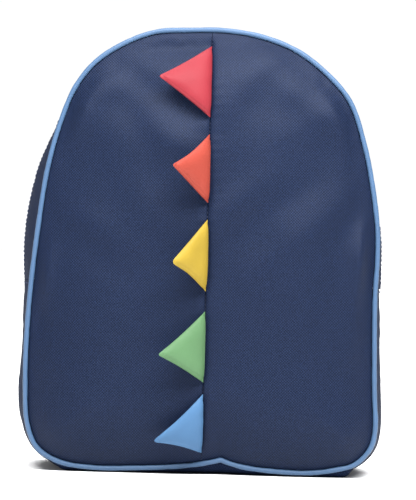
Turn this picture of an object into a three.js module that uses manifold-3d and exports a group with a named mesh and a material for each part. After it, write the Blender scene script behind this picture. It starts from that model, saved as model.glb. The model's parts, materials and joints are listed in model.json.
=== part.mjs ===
// A child's backpack with a row of padded spikes sewn into the seam down its front.
// Millimetres, +Z up, the front facing -Y. The origin is on the floor, at the middle of the whole bag.
// The bag is hollow: sewn walls of cloth round an open space, closed over the top by a zip.
import * as THREE from "three";
import Module from "manifold-3d";

const wasm = await Module();
wasm.setup();

// The body
const BODY_HEIGHT = 320; // floor to the top of the front seam
const PANEL_WIDTH = 249; // across the front seam at its widest
const GUSSET_DEPTH = 100; // front seam to back seam
const FABRIC = 1.4; // wall of the sewn cloth
const GAP = 0.3; // clearance between two pieces that touch
const SEAT = 0.8; // and between a piece and the curved panel that it is sewn to
const PIPING = 3.6; // diameter of the piping cord in the front seam
const GUSSET_BULGE = 12; // most that the stuffed gusset stands out between its seams
const BACK_FLARE = 0.35; // share of that bulge left at the back seam
const FLOOR_SETTLE = 7; // how far behind the front seam the underside meets the floor

// The front panel's two halves
const FRONT_CROWN = 21; // how far the front panel swells out
const CROWN_REACH_TOP = 98; // how far in from the seam the swelling ends, at the top
const CROWN_REACH_BASE = 46; // and at the base
const CROWN_POWER = 2;
const SEAM_X = 3; // the middle seam lies a little right of the centre
const SEAM_DIP = 0.8; // the middle seam pulls the cloth in
const SEAM_DIP_REACH = 3;
const SEAM_CALM = 13; // folds fade out within this distance of the front seam
const HALF_START = 12; // along the front seam, from the middle seam to each half's first row
const DENT_RISE = 8.6; // kink in the bottom of the front seam
const DENT_X = 17;
const DENT_LEFT = 29;
const DENT_RIGHT = 19;
const DENT_DEPTH = 16; // how far back into the gusset the kink goes

// The back panel
const BACK_CROWN = 6;
const BACK_REACH = 40;
const BACK_CORNER = 112; // along the seam, from the middle of the base to where a side begins
const BACK_TOP = 18; // the panel's topmost straight stretch

// The zip in the gusset
const ZIP_HEIGHT = 136; // floor to where the zip starts on each side
const ZIP_SETBACK = 40; // front seam to the zip's opening
const ZIP_OPENING = 9;
const ZIP_TAPE = 0.8; // tape thickness
const ZIP_TAPE_LAP = 7; // tape hidden under the cloth on each side
const COIL_WIDTH = 5;
const COIL_HEIGHT = 1.6;
const SLIDER_LENGTH = 12;
const SLIDER_WIDTH = 9;
const SLIDER_HEIGHT = 3.6;
const SLIDER_OFFSET = 60; // where the two sliders meet, along the seam from the middle seam's head
const PULL_LENGTH = 26;
const PULL_WIDTH = 7;
const PULL_THICK = 1.6;

// The spikes
const SPIKE_HEIGHT = 40; // root to tip along the spike
const SPIKE_BASE = 50; // along the seam
const SPIKE_PUFF = 7.5; // thickness of the stuffing
const SPIKE_EDGE = 1.4; // thickness of the closed edge
const SPIKE_RISE = 5; // how far a spike stands straight out of the seam before it leans
const SPIKE_BEND_LENGTH = 4; // and over what length it turns
const SPIKE_TIP = 1.8; // radius of the blunt tip

// The straps
const PAD_WIDTH = 45;
const PAD_TOP_WIDTH = 38;
const PAD_END_WIDTH = 27;
const PAD_THICK = 9;
const STRAP_BOW = 36; // how far a strap stands off the back
const WEBBING_WIDTH = 20;
const WEBBING = 1.4;
const TAIL_LENGTH = 62;
const BUCKLE_WIDTH = 28;
const BUCKLE_LENGTH = 21;
const BUCKLE_BAR = 3;
const ANCHOR_WIDTH = 34;
const ANCHOR_LENGTH = 36;
const ANCHOR_THICK = 2;
const HANDLE_LENGTH = 96;
const HANDLE_WIDTH = 22;
const HANDLE_THICK = 2.4;
const HANDLE_BOW = 20;
const HANDLE_DROP = 30; // top of the front seam down to the middle of the handle

// The front seam, seen from the front, from the bottom of the middle seam round by the left.
// x is a share of half the panel's width, z of the body's height, bulge of the gusset's bulge.
const OUTLINE = [
  { x: 0.024, z: 0.0085, bulge: 0.33 },
  { x: -0.32, z: 0.0085, bulge: 0.33 },
  { x: -0.62, z: 0.0095, bulge: 0.34 },
  { x: -0.8, z: 0.0215, bulge: 0.46 },
  { x: -0.925, z: 0.0515, bulge: 0.55 },
  { x: -0.985, z: 0.106, bulge: 0.58 },
  { x: -1.002, z: 0.2, bulge: 0.62 },
  { x: -1, z: 0.31, bulge: 0.48 },
  { x: -0.981, z: 0.43, bulge: 0.72 },
  { x: -0.948, z: 0.555, bulge: 0.98 },
  { x: -0.906, z: 0.675, bulge: 0.78 },
  { x: -0.842, z: 0.776, bulge: 0.43 },
  { x: -0.757, z: 0.862, bulge: 0.25 },
  { x: -0.64, z: 0.921, bulge: 0.18 },
  { x: -0.475, z: 0.964, bulge: 0.17 },
  { x: -0.3, z: 0.99, bulge: 0.17 },
  { x: -0.1, z: 0.996, bulge: 0.17 },
  { x: 0.1, z: 0.997, bulge: 0.17 },
  { x: 0.31, z: 0.985, bulge: 0.17 },
  { x: 0.512, z: 0.956, bulge: 0.17 },
  { x: 0.69, z: 0.906, bulge: 0.17 },
  { x: 0.829, z: 0.844, bulge: 0.18 },
  { x: 0.918, z: 0.748, bulge: 0.3 },
  { x: 0.971, z: 0.655, bulge: 0.37 },
  { x: 1.005, z: 0.56, bulge: 0.38 },
  { x: 1.009, z: 0.495, bulge: 0.4 },
  { x: 1.001, z: 0.41, bulge: 0.52 },
  { x: 1.005, z: 0.29, bulge: 0.6 },
  { x: 1.012, z: 0.19, bulge: 0.66 },
  { x: 1.022, z: 0.115, bulge: 0.6 },
  { x: 1.006, z: 0.0765, bulge: 0.58 },
  { x: 0.968, z: 0.052, bulge: 0.57 },
  { x: 0.9, z: 0.0295, bulge: 0.52 },
  { x: 0.8, z: 0.0185, bulge: 0.43 },
  { x: 0.66, z: 0.0098, bulge: 0.36 },
  { x: 0.36, z: 0.0085, bulge: 0.33 },
];

// The front panel's soft folds. x, z place the middle as in OUTLINE, turn tips the fold from
// upright towards the right, length and width are shares of the panel's width, rise of the crown.
const FOLDS = [
  { x: -0.74, z: 0.8, turn: 20, length: 0.075, width: 0.055, rise: 0.23 },
  { x: -0.58, z: 0.862, turn: 70, length: 0.07, width: 0.05, rise: 0.15 },
  { x: -0.43, z: 0.895, turn: -55, length: 0.14, width: 0.045, rise: -0.08 },
  { x: -0.36, z: 0.905, turn: -55, length: 0.12, width: 0.05, rise: 0.07 },
  { x: -0.17, z: 0.96, turn: 85, length: 0.14, width: 0.045, rise: -0.13 },
  { x: -0.16, z: 0.735, turn: -50, length: 0.11, width: 0.06, rise: 0.18 },
  { x: -0.16, z: 0.83, turn: -60, length: 0.12, width: 0.05, rise: -0.07 },
  { x: -0.46, z: 0.815, turn: -42, length: 0.12, width: 0.055, rise: -0.1 },
  { x: -0.6, z: 0.665, turn: -45, length: 0.15, width: 0.09, rise: -0.09 },
  { x: -0.28, z: 0.585, turn: -30, length: 0.12, width: 0.07, rise: 0.09 },
  { x: -0.2, z: 0.645, turn: -60, length: 0.1, width: 0.05, rise: -0.05 },
  { x: -0.57, z: 0.54, turn: -60, length: 0.17, width: 0.04, rise: 0.05 },
  { x: -0.62, z: 0.49, turn: -55, length: 0.14, width: 0.05, rise: -0.07 },
  { x: -0.93, z: 0.445, turn: 5, length: 0.08, width: 0.035, rise: 0.27 },
  { x: -0.95, z: 0.34, turn: 0, length: 0.05, width: 0.03, rise: -0.16 },
  { x: 0.16, z: 0.915, turn: 50, length: 0.12, width: 0.05, rise: 0.11 },
  { x: 0.3, z: 0.905, turn: 45, length: 0.17, width: 0.05, rise: 0.17 },
  { x: 0.5, z: 0.868, turn: -60, length: 0.07, width: 0.05, rise: 0.13 },
  { x: 0.71, z: 0.812, turn: -25, length: 0.075, width: 0.06, rise: 0.23 },
  { x: 0.785, z: 0.75, turn: -5, length: 0.1, width: 0.03, rise: 0.09 },
  { x: 0.6, z: 0.69, turn: 30, length: 0.14, width: 0.09, rise: -0.09 },
  { x: 0.16, z: 0.6, turn: 45, length: 0.12, width: 0.05, rise: 0.15 },
  { x: 0.41, z: 0.6, turn: 53, length: 0.18, width: 0.045, rise: -0.07 },
  { x: 0.56, z: 0.54, turn: 51, length: 0.24, width: 0.04, rise: 0.06 },
  { x: 0.87, z: 0.59, turn: 35, length: 0.12, width: 0.045, rise: -0.09 },
  { x: 0.94, z: 0.49, turn: 3, length: 0.1, width: 0.035, rise: 0.32 },
  { x: 0.71, z: 0.42, turn: 5, length: 0.14, width: 0.045, rise: -0.07 },
  { x: 0.88, z: 0.38, turn: 3, length: 0.2, width: 0.035, rise: 0.07 },
];

// The spikes down the middle seam. foot is a share of the body's height, long of SPIKE_BASE, tip
// the tip's place along the base. reach is how far the spike leans to the left, and upper and lower
// how far its free edges pull in, as shares of SPIKE_HEIGHT.
const SPIKES = [
  { name: "spike_red", foot: 0.798, long: 1.04, tip: 0.54, reach: 0.93, upper: 0.02, lower: 0.01 },
  { name: "spike_orange", foot: 0.608, long: 0.98, tip: 0.52, reach: 0.64, upper: 0.05, lower: 0.005 },
  { name: "spike_yellow", foot: 0.412, long: 1.02, tip: 0.4, reach: 0.61, upper: 0.01, lower: 0.045 },
  { name: "spike_green", foot: 0.21, long: 1.01, tip: 0.39, reach: 0.81, upper: 0.02, lower: 0.022 },
  { name: "spike_blue", foot: 0.05, long: 0.86, tip: 0.21, reach: 0.87, upper: 0.025, lower: 0.035 },
];

// A shoulder strap's middle line on the back: out is a share of half the panel's width,
// up of the body's height, off of the strap's bow.
const STRAP_LINE = [
  { out: 0.26, up: 0.85, off: 0 },
  { out: 0.28, up: 0.805, off: 0.16 },
  { out: 0.35, up: 0.73, off: 0.78 },
  { out: 0.45, up: 0.6, off: 1 },
  { out: 0.56, up: 0.47, off: 0.86 },
  { out: 0.65, up: 0.36, off: 0.56 },
];
// The buckle hangs under the pad, and the webbing runs from it to the anchor in the lower corner.
const STRAP_SEATS = [
  { name: "buckle", out: 0.69, up: 0.3, off: 0.42 },
  { name: "anchor", out: 0.78, up: 0.1, off: 0 },
];

const COLOURS = {
  navy: 0x2f3a63,
  piping: 0x6fa3dc,
  tape: 0x262f50,
  plastic: 0x1d2236,
  foam: 0x2b355a,
  spike_red: 0xd8404c,
  spike_orange: 0xdb5a3f,
  spike_yellow: 0xe6b93c,
  spike_green: 0x6fb56c,
  spike_blue: 0x5f96d2,
};
const fabricMaterial = new THREE.MeshStandardMaterial({ color: COLOURS.navy, roughness: 0.8 });
const pipingMaterial = new THREE.MeshStandardMaterial({ color: COLOURS.piping, roughness: 0.45 });
const webbingMaterial = new THREE.MeshStandardMaterial({ color: COLOURS.tape, roughness: 0.75 });
const padMaterial = new THREE.MeshStandardMaterial({ color: COLOURS.foam, roughness: 0.85 });
const plasticMaterial = new THREE.MeshStandardMaterial({ color: COLOURS.plastic, roughness: 0.4 });

const HALF_WIDTH = PANEL_WIDTH / 2;
const HANDLE_HEIGHT = BODY_HEIGHT - HANDLE_DROP;
const [BUCKLE_PLACE, ANCHOR_PLACE] = STRAP_SEATS;
const SEAM_EDGE = PIPING / 2 + GAP; // where the cloth meets the piping
const ZIP_BACK = ZIP_SETBACK + ZIP_OPENING;
const TAPE_FRONT = ZIP_SETBACK - ZIP_TAPE_LAP;
const TAPE_BACK = ZIP_BACK + ZIP_TAPE_LAP;
const STATIONS = 72; // steps round the seam
const DEPTHS = [
  FLOOR_SETTLE,
  (FLOOR_SETTLE + TAPE_FRONT) / 2,
  TAPE_FRONT,
  ZIP_SETBACK,
  ZIP_BACK,
  TAPE_BACK,
  (TAPE_BACK + GUSSET_DEPTH) / 2,
];

const bag = new THREE.Group();
const clampShare = THREE.MathUtils.clamp;
const mix = THREE.MathUtils.lerp;

function addPiece(name, geometry, material) {
  const mesh = new THREE.Mesh(geometry, material);
  mesh.name = name;
  bag.add(mesh);
  return mesh;
}

// Builds a geometry and turns its faces outwards.
function closedBody(positions, triangles) {
  const point = (i) => new THREE.Vector3().fromArray(positions, 3 * i);
  let volume = 0;
  for (let i = 0; i < triangles.length; i += 3) {
    const [a, b, c] = [0, 1, 2].map((k) => point(triangles[i + k]));
    volume += a.dot(b.cross(c));
  }
  if (volume < 0) triangles.reverse();
  const geometry = new THREE.BufferGeometry();
  geometry.setAttribute("position", new THREE.Float32BufferAttribute(positions, 3));
  geometry.setIndex(triangles);
  geometry.computeVertexNormals();
  return geometry;
}

const evenly = (steps) => Array.from({ length: steps + 1 }, (_, i) => i / steps);

// A cloth wall between two faces: place(u, v, face) gives the outer face at 0 and the inner at 1.
function sheet(place, across, upwards) {
  const positions = [];
  const triangles = [];
  const [columns, rows] = [across.length - 1, upwards.length - 1];
  const index = (face, i, j) => (face * (columns + 1) + i) * (rows + 1) + j;
  for (const face of [0, 1])
    for (const u of across)
      for (const v of upwards) positions.push(...place(u, v, face).toArray());
  const quad = (a, b, c, d) => triangles.push(a, b, c, a, c, d);
  for (let i = 0; i < columns; i++)
    for (let j = 0; j < rows; j++) {
      quad(index(0, i, j), index(0, i + 1, j), index(0, i + 1, j + 1), index(0, i, j + 1));
      quad(index(1, i, j + 1), index(1, i + 1, j + 1), index(1, i + 1, j), index(1, i, j));
    }
  for (let i = 0; i < columns; i++) {
    quad(index(1, i, 0), index(1, i + 1, 0), index(0, i + 1, 0), index(0, i, 0));
    quad(index(0, i, rows), index(0, i + 1, rows), index(1, i + 1, rows), index(1, i, rows));
  }
  for (let j = 0; j < rows; j++) {
    quad(index(0, 0, j), index(0, 0, j + 1), index(1, 0, j + 1), index(1, 0, j));
    quad(index(1, columns, j), index(1, columns, j + 1), index(0, columns, j + 1), index(0, columns, j));
  }
  return closedBody(positions, triangles);
}

// A body lofted through rings of equally many points, with flat ends.
function loft(rings) {
  const sides = rings[0].length;
  const positions = rings.flat().flatMap((p) => p.toArray());
  const triangles = [];
  for (let i = 0; i + 1 < rings.length; i++)
    for (let j = 0; j < sides; j++) {
      const [a, b] = [i * sides + j, i * sides + ((j + 1) % sides)];
      triangles.push(a, b, b + sides, a, b + sides, a + sides);
    }
  const last = (rings.length - 1) * sides;
  for (let j = 1; j + 1 < sides; j++) {
    triangles.push(0, j + 1, j);
    triangles.push(last, last + j, last + j + 1);
  }
  return closedBody(positions, triangles);
}

// The front seam as a closed curve. Its y holds the gusset's bulge at each place, not a position.
const ring = new THREE.CatmullRomCurve3(
  OUTLINE.map((row) => new THREE.Vector3(row.x * HALF_WIDTH, row.bulge * GUSSET_BULGE, row.z * BODY_HEIGHT)),
  true,
  "centripetal",
);
ring.arcLengthDivisions = 1600;
const RING_LENGTH = ring.getLength();

function ringAt(share) {
  const s = share - Math.floor(share);
  const place = ring.getPointAt(s);
  const along = ring.getTangentAt(s).setY(0).normalize();
  return { x: place.x, z: place.z, bulge: place.y, out: new THREE.Vector3(-along.z, 0, along.x) };
}

// The ring's share at which its x or z passes a value, searched between two shares.
function ringShareWhere(axis, value, from, to) {
  const before = ringAt(from)[axis] < value;
  let [low, high] = [from, to];
  for (let i = 0; i < 40; i++) {
    const middle = (low + high) / 2;
    if (ringAt(middle)[axis] < value === before) low = middle;
    else high = middle;
  }
  return (low + high) / 2;
}
const TOP_SHARE = ringShareWhere("x", SEAM_X, 0.25, 0.75);
const LEFT_JOIN = ringShareWhere("z", ZIP_HEIGHT, 0.1, TOP_SHARE);
const RIGHT_JOIN = ringShareWhere("z", ZIP_HEIGHT, TOP_SHARE, 0.9);
const JOIN_GAP = GAP / RING_LENGTH;

// How much the kink lifts the bottom of the seam, fading towards the back of the gusset.
function dentLift(x, z, depth) {
  const side = x < DENT_X ? DENT_LEFT : DENT_RIGHT;
  const low = clampShare(1 - z / (BODY_HEIGHT / 4), 0, 1);
  const fade = clampShare(1 - depth / DENT_DEPTH, 0, 1);
  return DENT_RISE * Math.exp(-Math.abs(x - DENT_X) / side) * low * fade * fade;
}

// A point of the gusset, inset from its outer face. Behind the front seam its underside settles
// onto the floor, and lies flat there.
function gussetPoint(share, depth, inset = 0) {
  const place = ringAt(share);
  const t = depth / GUSSET_DEPTH;
  const reach = place.bulge * mix(Math.sin(Math.PI * t), 1, BACK_FLARE * t * t);
  const facingDown = THREE.MathUtils.smoothstep(-place.out.z, 0.88, 0.99);
  const settle = facingDown * Math.sin((Math.PI / 2) * clampShare(depth / FLOOR_SETTLE, 0, 1));
  const x = place.x + place.out.x * (reach - inset);
  const low = (place.z + place.out.z * reach) * (1 - settle) + dentLift(place.x, place.z, depth);
  return new THREE.Vector3(x, depth, Math.max(low - place.out.z * inset, inset));
}

// The front and back seams, as fine lines for measuring distances to them.
const SEAM_SAMPLES = 360;
const seamAt = (depth) =>
  Array.from({ length: SEAM_SAMPLES }, (_, i) => gussetPoint(i / SEAM_SAMPLES, depth));
const frontSeam = seamAt(0);
const backSeam = seamAt(GUSSET_DEPTH);

// The distance in from a seam, seen from the front.
function insetFrom(seam, x, z) {
  let least = Infinity;
  for (let i = 0; i < SEAM_SAMPLES; i++) {
    const [a, b] = [seam[i], seam[(i + 1) % SEAM_SAMPLES]];
    const [dx, dz] = [b.x - a.x, b.z - a.z];
    const t = clampShare(((x - a.x) * dx + (z - a.z) * dz) / (dx * dx + dz * dz), 0, 1);
    least = Math.min(least, Math.hypot(x - a.x - t * dx, z - a.z - t * dz));
  }
  return least;
}

function swelling(inset, crown, reach) {
  return crown * (1 - (1 - clampShare(inset / reach, 0, 1)) ** CROWN_POWER);
}

function foldHeight(x, z) {
  return FOLDS.reduce((sum, fold) => {
    const turn = THREE.MathUtils.degToRad(fold.turn);
    const [dx, dz] = [x - fold.x * HALF_WIDTH, z - fold.z * BODY_HEIGHT];
    const along = (dx * Math.sin(turn) + dz * Math.cos(turn)) / (fold.length * PANEL_WIDTH);
    const across = (dx * Math.cos(turn) - dz * Math.sin(turn)) / (fold.width * PANEL_WIDTH);
    return sum + fold.rise * FRONT_CROWN * Math.exp(-along * along - across * across);
  }, 0);
}

// How far the front panel's outer face stands out of the plane of the front seam.
function frontHeight(x, z) {
  const inset = Math.max(0, insetFrom(frontSeam, x, z) - SEAM_EDGE);
  const reach = mix(CROWN_REACH_BASE, CROWN_REACH_TOP, z / BODY_HEIGHT);
  const fade = THREE.MathUtils.smoothstep(inset, 0, SEAM_CALM);
  const dip = SEAM_DIP * Math.exp(-(((x - SEAM_X) / SEAM_DIP_REACH) ** 2));
  return swelling(inset, FRONT_CROWN, reach) + (foldHeight(x, z) - dip) * fade;
}

// The back panel's outer face.
function backDepth(x, z) {
  return GUSSET_DEPTH + GAP + FABRIC + swelling(insetFrom(backSeam, x, z), BACK_CROWN, BACK_REACH);
}

// Half of the front panel, from the middle seam (u = 0) to the piping (u = 1).
function frontHalf(side) {
  const start = (side * HALF_START) / RING_LENGTH;
  const end = side > 0 ? TOP_SHARE - start : TOP_SHARE - 1 - start;
  return (u, v, face) => {
    const edge = ringAt(mix(start, end, v));
    const lift = dentLift(edge.x, edge.z, 0);
    const middle = { x: SEAM_X - (side * GAP) / 2, low: seamFoot.z, high: seamHead.z };
    const x = mix(middle.x, edge.x - edge.out.x * SEAM_EDGE, u);
    const z = mix(mix(middle.low, middle.high, v), edge.z + lift - edge.out.z * SEAM_EDGE, u);
    return new THREE.Vector3(x, face * FABRIC - frontHeight(x, z), z);
  };
}
const seamFoot = new THREE.Vector3(SEAM_X, 0, gussetPoint(0, 0).z + SEAM_EDGE);
const seamHead = new THREE.Vector3(SEAM_X, 0, ringAt(TOP_SHARE).z - SEAM_EDGE);

function buildFront() {
  addPiece("front_panel_left", sheet(frontHalf(1), evenly(9), evenly(28)), fabricMaterial);
  addPiece("front_panel_right", sheet(frontHalf(-1), evenly(9), evenly(28)), fabricMaterial);
  const steps = 96;
  const line = Array.from({ length: steps }, (_, i) => gussetPoint(i / steps, 0));
  const path = new THREE.CatmullRomCurve3(line, true, "centripetal");
  addPiece("front_piping", new THREE.TubeGeometry(path, steps, PIPING / 2, 6, true), pipingMaterial);
}

// A band of the gusset between two depths, and two shares of the ring. All bands share the same
// stations along the ring and in depth, so that one lies evenly inside another.
function gussetBand(from, to, front, back, inset, wall) {
  const stations = [from];
  for (let i = Math.ceil((from + 0.003) * STATIONS); i < (to - 0.003) * STATIONS; i++) {
    stations.push(i / STATIONS);
  }
  stations.push(to);
  const depths = [front, ...DEPTHS.filter((depth) => depth > front && depth < back), back];
  return sheet((share, depth, face) => gussetPoint(share, depth, inset + face * wall), stations, depths);
}

function buildGusset() {
  const [left, right] = [LEFT_JOIN + JOIN_GAP, RIGHT_JOIN - JOIN_GAP];
  const lower = gussetBand(RIGHT_JOIN - 1, LEFT_JOIN, SEAM_EDGE, GUSSET_DEPTH, 0, FABRIC);
  addPiece("gusset_lower", lower, fabricMaterial);
  const front = gussetBand(left, right, SEAM_EDGE, ZIP_SETBACK, 0, FABRIC);
  addPiece("gusset_front_strip", front, fabricMaterial);
  const back = gussetBand(left, right, ZIP_BACK, GUSSET_DEPTH, 0, FABRIC);
  addPiece("gusset_back_strip", back, fabricMaterial);
}

function buildZip() {
  const lap = ZIP_TAPE_LAP / RING_LENGTH;
  const under = FABRIC + GAP;
  const tape = gussetBand(LEFT_JOIN - lap, RIGHT_JOIN + lap, TAPE_FRONT, TAPE_BACK, under, ZIP_TAPE);
  addPiece("zip_tape", tape, webbingMaterial);
  const depth = ZIP_SETBACK + ZIP_OPENING / 2;
  const [coilFront, coilBack] = [depth - COIL_WIDTH / 2, depth + COIL_WIDTH / 2];
  const top = under - GAP - COIL_HEIGHT;
  const meet = TOP_SHARE + SLIDER_OFFSET / RING_LENGTH;
  for (const [side, name] of [[-1, "left"], [1, "right"]]) {
    const near = meet + (side * (SLIDER_LENGTH + 1.5 * GAP)) / RING_LENGTH;
    const foot = side < 0 ? LEFT_JOIN + JOIN_GAP : RIGHT_JOIN - JOIN_GAP;
    const [low, high] = side < 0 ? [foot, near] : [near, foot];
    const coil = gussetBand(low, high, coilFront, coilBack, top, COIL_HEIGHT);
    addPiece("zip_coil_" + name, coil, plasticMaterial);
    addPiece("zip_slider_" + name, zipSlider(meet, side, depth, under - GAP), plasticMaterial);
  }
}

function solidOf(geometry) {
  const { array } = geometry.getAttribute("position");
  return new wasm.Manifold(
    new wasm.Mesh({ numProp: 3, vertProperties: array, triVerts: new Uint32Array(geometry.index.array) }),
  );
}

function geometryOf(solid) {
  const made = solid.getMesh();
  const geometry = new THREE.BufferGeometry();
  geometry.setAttribute("position", new THREE.BufferAttribute(made.vertProperties, 3));
  geometry.setIndex(new THREE.BufferAttribute(made.triVerts, 1));
  return geometry;
}

// A block in a frame: low and high are corners along the frame's three directions.
function block(frame, low, high) {
  const place = (a, b, c) => new THREE.Vector3(a, b, c).applyMatrix4(frame);
  const ringAtHeight = (c) => [
    place(low[0], low[1], c),
    place(high[0], low[1], c),
    place(high[0], high[1], c),
    place(low[0], high[1], c),
  ];
  return loft([ringAtHeight(low[2]), ringAtHeight(high[2])]);
}

// One of the closed zip's two sliders, which meet nose to nose. Its pull lies back over the coil.
function zipSlider(meet, side, depth, inset) {
  const frameAt = (distance) => {
    const share = meet + (side * distance) / RING_LENGTH;
    const place = gussetPoint(share, depth, inset);
    const along = gussetPoint(share + side / RING_LENGTH, depth, inset).sub(place).normalize();
    const across = new THREE.Vector3(0, 1, 0);
    const out = new THREE.Vector3().crossVectors(across, along);
    if (out.dot(ringAt(share).out) < 0) out.negate();
    return new THREE.Matrix4().makeBasis(along, across, out).setPosition(place);
  };
  const [half, wide] = [SLIDER_LENGTH / 2, SLIDER_WIDTH / 2 - GAP];
  const body = block(frameAt(GAP / 2 + half), [-half, -wide, 0], [half, wide, SLIDER_HEIGHT]);
  const pullFrame = frameAt(GAP / 2 + (SLIDER_LENGTH * 2) / 3 + PULL_LENGTH / 2);
  const pullFloor = COIL_HEIGHT + 2 * GAP;
  const pullLow = [-PULL_LENGTH / 2, -PULL_WIDTH / 2, pullFloor];
  const pullHigh = [PULL_LENGTH / 2, PULL_WIDTH / 2, pullFloor + PULL_THICK];
  return geometryOf(solidOf(body).add(solidOf(block(pullFrame, pullLow, pullHigh))));
}

function buildBack() {
  const edge = (share) => gussetPoint(share, GUSSET_DEPTH, GAP);
  const [leftCorner, rightCorner] = [BACK_CORNER, -BACK_CORNER].map((length) => length / RING_LENGTH);
  const top = BACK_TOP / 2 / RING_LENGTH;
  const panel = (u, v, face) => {
    const left = edge(mix(leftCorner, TOP_SHARE - top, v));
    const right = edge(mix(rightCorner, TOP_SHARE - 1 + top, v));
    const row = left.lerp(right, u);
    const straight = edge(leftCorner).lerp(edge(rightCorner), u);
    const sag = edge(mix(leftCorner, rightCorner, u)).sub(straight).multiplyScalar((1 - v) ** 4);
    const [x, z] = [row.x + sag.x, row.z + sag.z];
    return new THREE.Vector3(x, backDepth(x, z) - face * FABRIC, z);
  };
  addPiece("back_panel", sheet(panel, evenly(14), evenly(20)), fabricMaterial);
}

// A spike's flat outline, from the foot of its base round the tip: x runs up the base, y out of it.
function spikeOutline(base, row) {
  const [foot, head] = [new THREE.Vector2(0, 0), new THREE.Vector2(base, 0)];
  const corner = new THREE.Vector2(row.tip * base, SPIKE_HEIGHT);
  const short = (end) => corner.clone().lerp(end, SPIKE_TIP / corner.distanceTo(end));
  const edge = (from, to, waist) => {
    const inwards = new THREE.Vector2(to.y - from.y, from.x - to.x).normalize();
    const pull = (t) => waist * SPIKE_HEIGHT * Math.sin(Math.PI * t);
    return evenly(6).map((t) => from.clone().lerp(to, t).addScaledVector(inwards, pull(t)));
  };
  const root = evenly(5).slice(1, -1);
  return [
    ...edge(foot, short(foot), row.lower),
    ...edge(short(head), head, row.upper),
    ...root.map((t) => head.clone().lerp(foot, t)),
  ];
}

// A stuffed spike. Its middle surface leaves the seam straight out and then leans to the left.
function spike(row) {
  const base = row.long * SPIKE_BASE;
  const foot = row.foot * BODY_HEIGHT;
  const reach = row.reach * SPIKE_HEIGHT;
  const lift = Math.max(0, Math.sqrt(SPIKE_HEIGHT ** 2 - reach ** 2) - SPIKE_RISE);
  const lean = (r) => {
    const t = r / SPIKE_HEIGHT;
    return new THREE.Vector2(-reach * t, -lift * t - SPIKE_RISE * (1 - Math.exp(-r / SPIKE_BEND_LENGTH)));
  };
  const place = (flat, half) => {
    const at = lean(flat.y);
    const along = lean(flat.y + 0.5).sub(at).normalize();
    const seat = frontHeight(SEAM_X, foot + clampShare(flat.x, 0, base)) + GAP + SPIKE_EDGE / 2;
    return new THREE.Vector3(SEAM_X + at.x - along.y * half, at.y - seat + along.x * half, foot + flat.x);
  };
  const outline = spikeOutline(base, row);
  const heart = new THREE.Vector2((base * (1 + row.tip)) / 3, SPIKE_HEIGHT / 3);
  const layer = (t, face) => {
    const half = (face * mix(SPIKE_EDGE, SPIKE_PUFF, Math.sqrt(1 - (1 - t) ** 2))) / 2;
    return outline.map((p) => place(p.clone().lerp(heart, t), half));
  };
  const inner = [0, 0.16, 0.42, 0.75];
  const under = [...inner].reverse().map((t) => layer(t, -1));
  return loft([...under, ...inner.map((t) => layer(t, 1))]);
}

function buildSpikes() {
  for (const row of SPIKES) {
    const material = new THREE.MeshStandardMaterial({ color: COLOURS[row.name], roughness: 0.5 });
    addPiece(row.name, spike(row), material);
  }
}

// A point off the back panel, on one side of the bag.
function offBack(side, row, thick) {
  const [x, z] = [side * row.out * HALF_WIDTH, row.up * BODY_HEIGHT];
  return new THREE.Vector3(x, backDepth(x, z) + SEAT + thick / 2 + row.off * STRAP_BOW, z);
}

// A ribbon along points, its flat face turned to the back, with a section of unit size.
function ribbon(line, width, thick, section, face = new THREE.Vector3(0, 1, 0)) {
  return loft(
    line.map((place, i) => {
      const before = line[Math.max(i - 1, 0)];
      const after = line[Math.min(i + 1, line.length - 1)];
      const along = after.clone().sub(before).normalize();
      const across = new THREE.Vector3().crossVectors(along, face).normalize();
      const out = new THREE.Vector3().crossVectors(across, along);
      const t = i / (line.length - 1);
      return section.map(([b, n]) =>
        place.clone().addScaledVector(across, b * width(t)).addScaledVector(out, n * thick(t)),
      );
    }),
  );
}
const FLAT_SECTION = [
  [-0.5, -0.5],
  [0.5, -0.5],
  [0.5, 0.5],
  [-0.5, 0.5],
];
const PAD_SECTION = [
  [-0.5, 0],
  [-0.46, -0.36],
  [-0.3, -0.5],
  [0.3, -0.5],
  [0.46, -0.36],
  [0.5, 0],
  [0.46, 0.36],
  [0.3, 0.5],
  [-0.3, 0.5],
  [-0.46, 0.36],
];

// The pad's width: full in the middle, narrower at the top and narrowest at the lower end.
function padWidth(t) {
  const end = t < 0.5 ? PAD_TOP_WIDTH : PAD_END_WIDTH;
  return mix(end, PAD_WIDTH, Math.sin(Math.PI * t) ** 0.8);
}

// The pad is thin where its ends are sewn down.
function padThick(t) {
  return PAD_THICK * mix(0.42, 1, Math.sin(Math.PI * clampShare(t, 0, 1)) ** 0.45);
}

// A ladder buckle in its own plane: a plate with two slots and three bars, b across, a along.
function buckle(frame) {
  const [w, l] = [BUCKLE_WIDTH / 2, BUCKLE_LENGTH / 2];
  const plate = solidOf(block(frame, [-l, -w, -BUCKLE_BAR / 2], [l, w, BUCKLE_BAR / 2]));
  const inner = WEBBING_WIDTH / 2 + 2 * GAP;
  const slot = (from, to) => solidOf(block(frame, [from, -inner, -BUCKLE_BAR], [to, inner, BUCKLE_BAR]));
  const upper = slot(-l + BUCKLE_BAR, -BUCKLE_BAR / 2);
  const lower = slot(BUCKLE_BAR / 2, l - BUCKLE_BAR);
  return geometryOf(plate.subtract(upper).subtract(lower));
}

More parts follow.
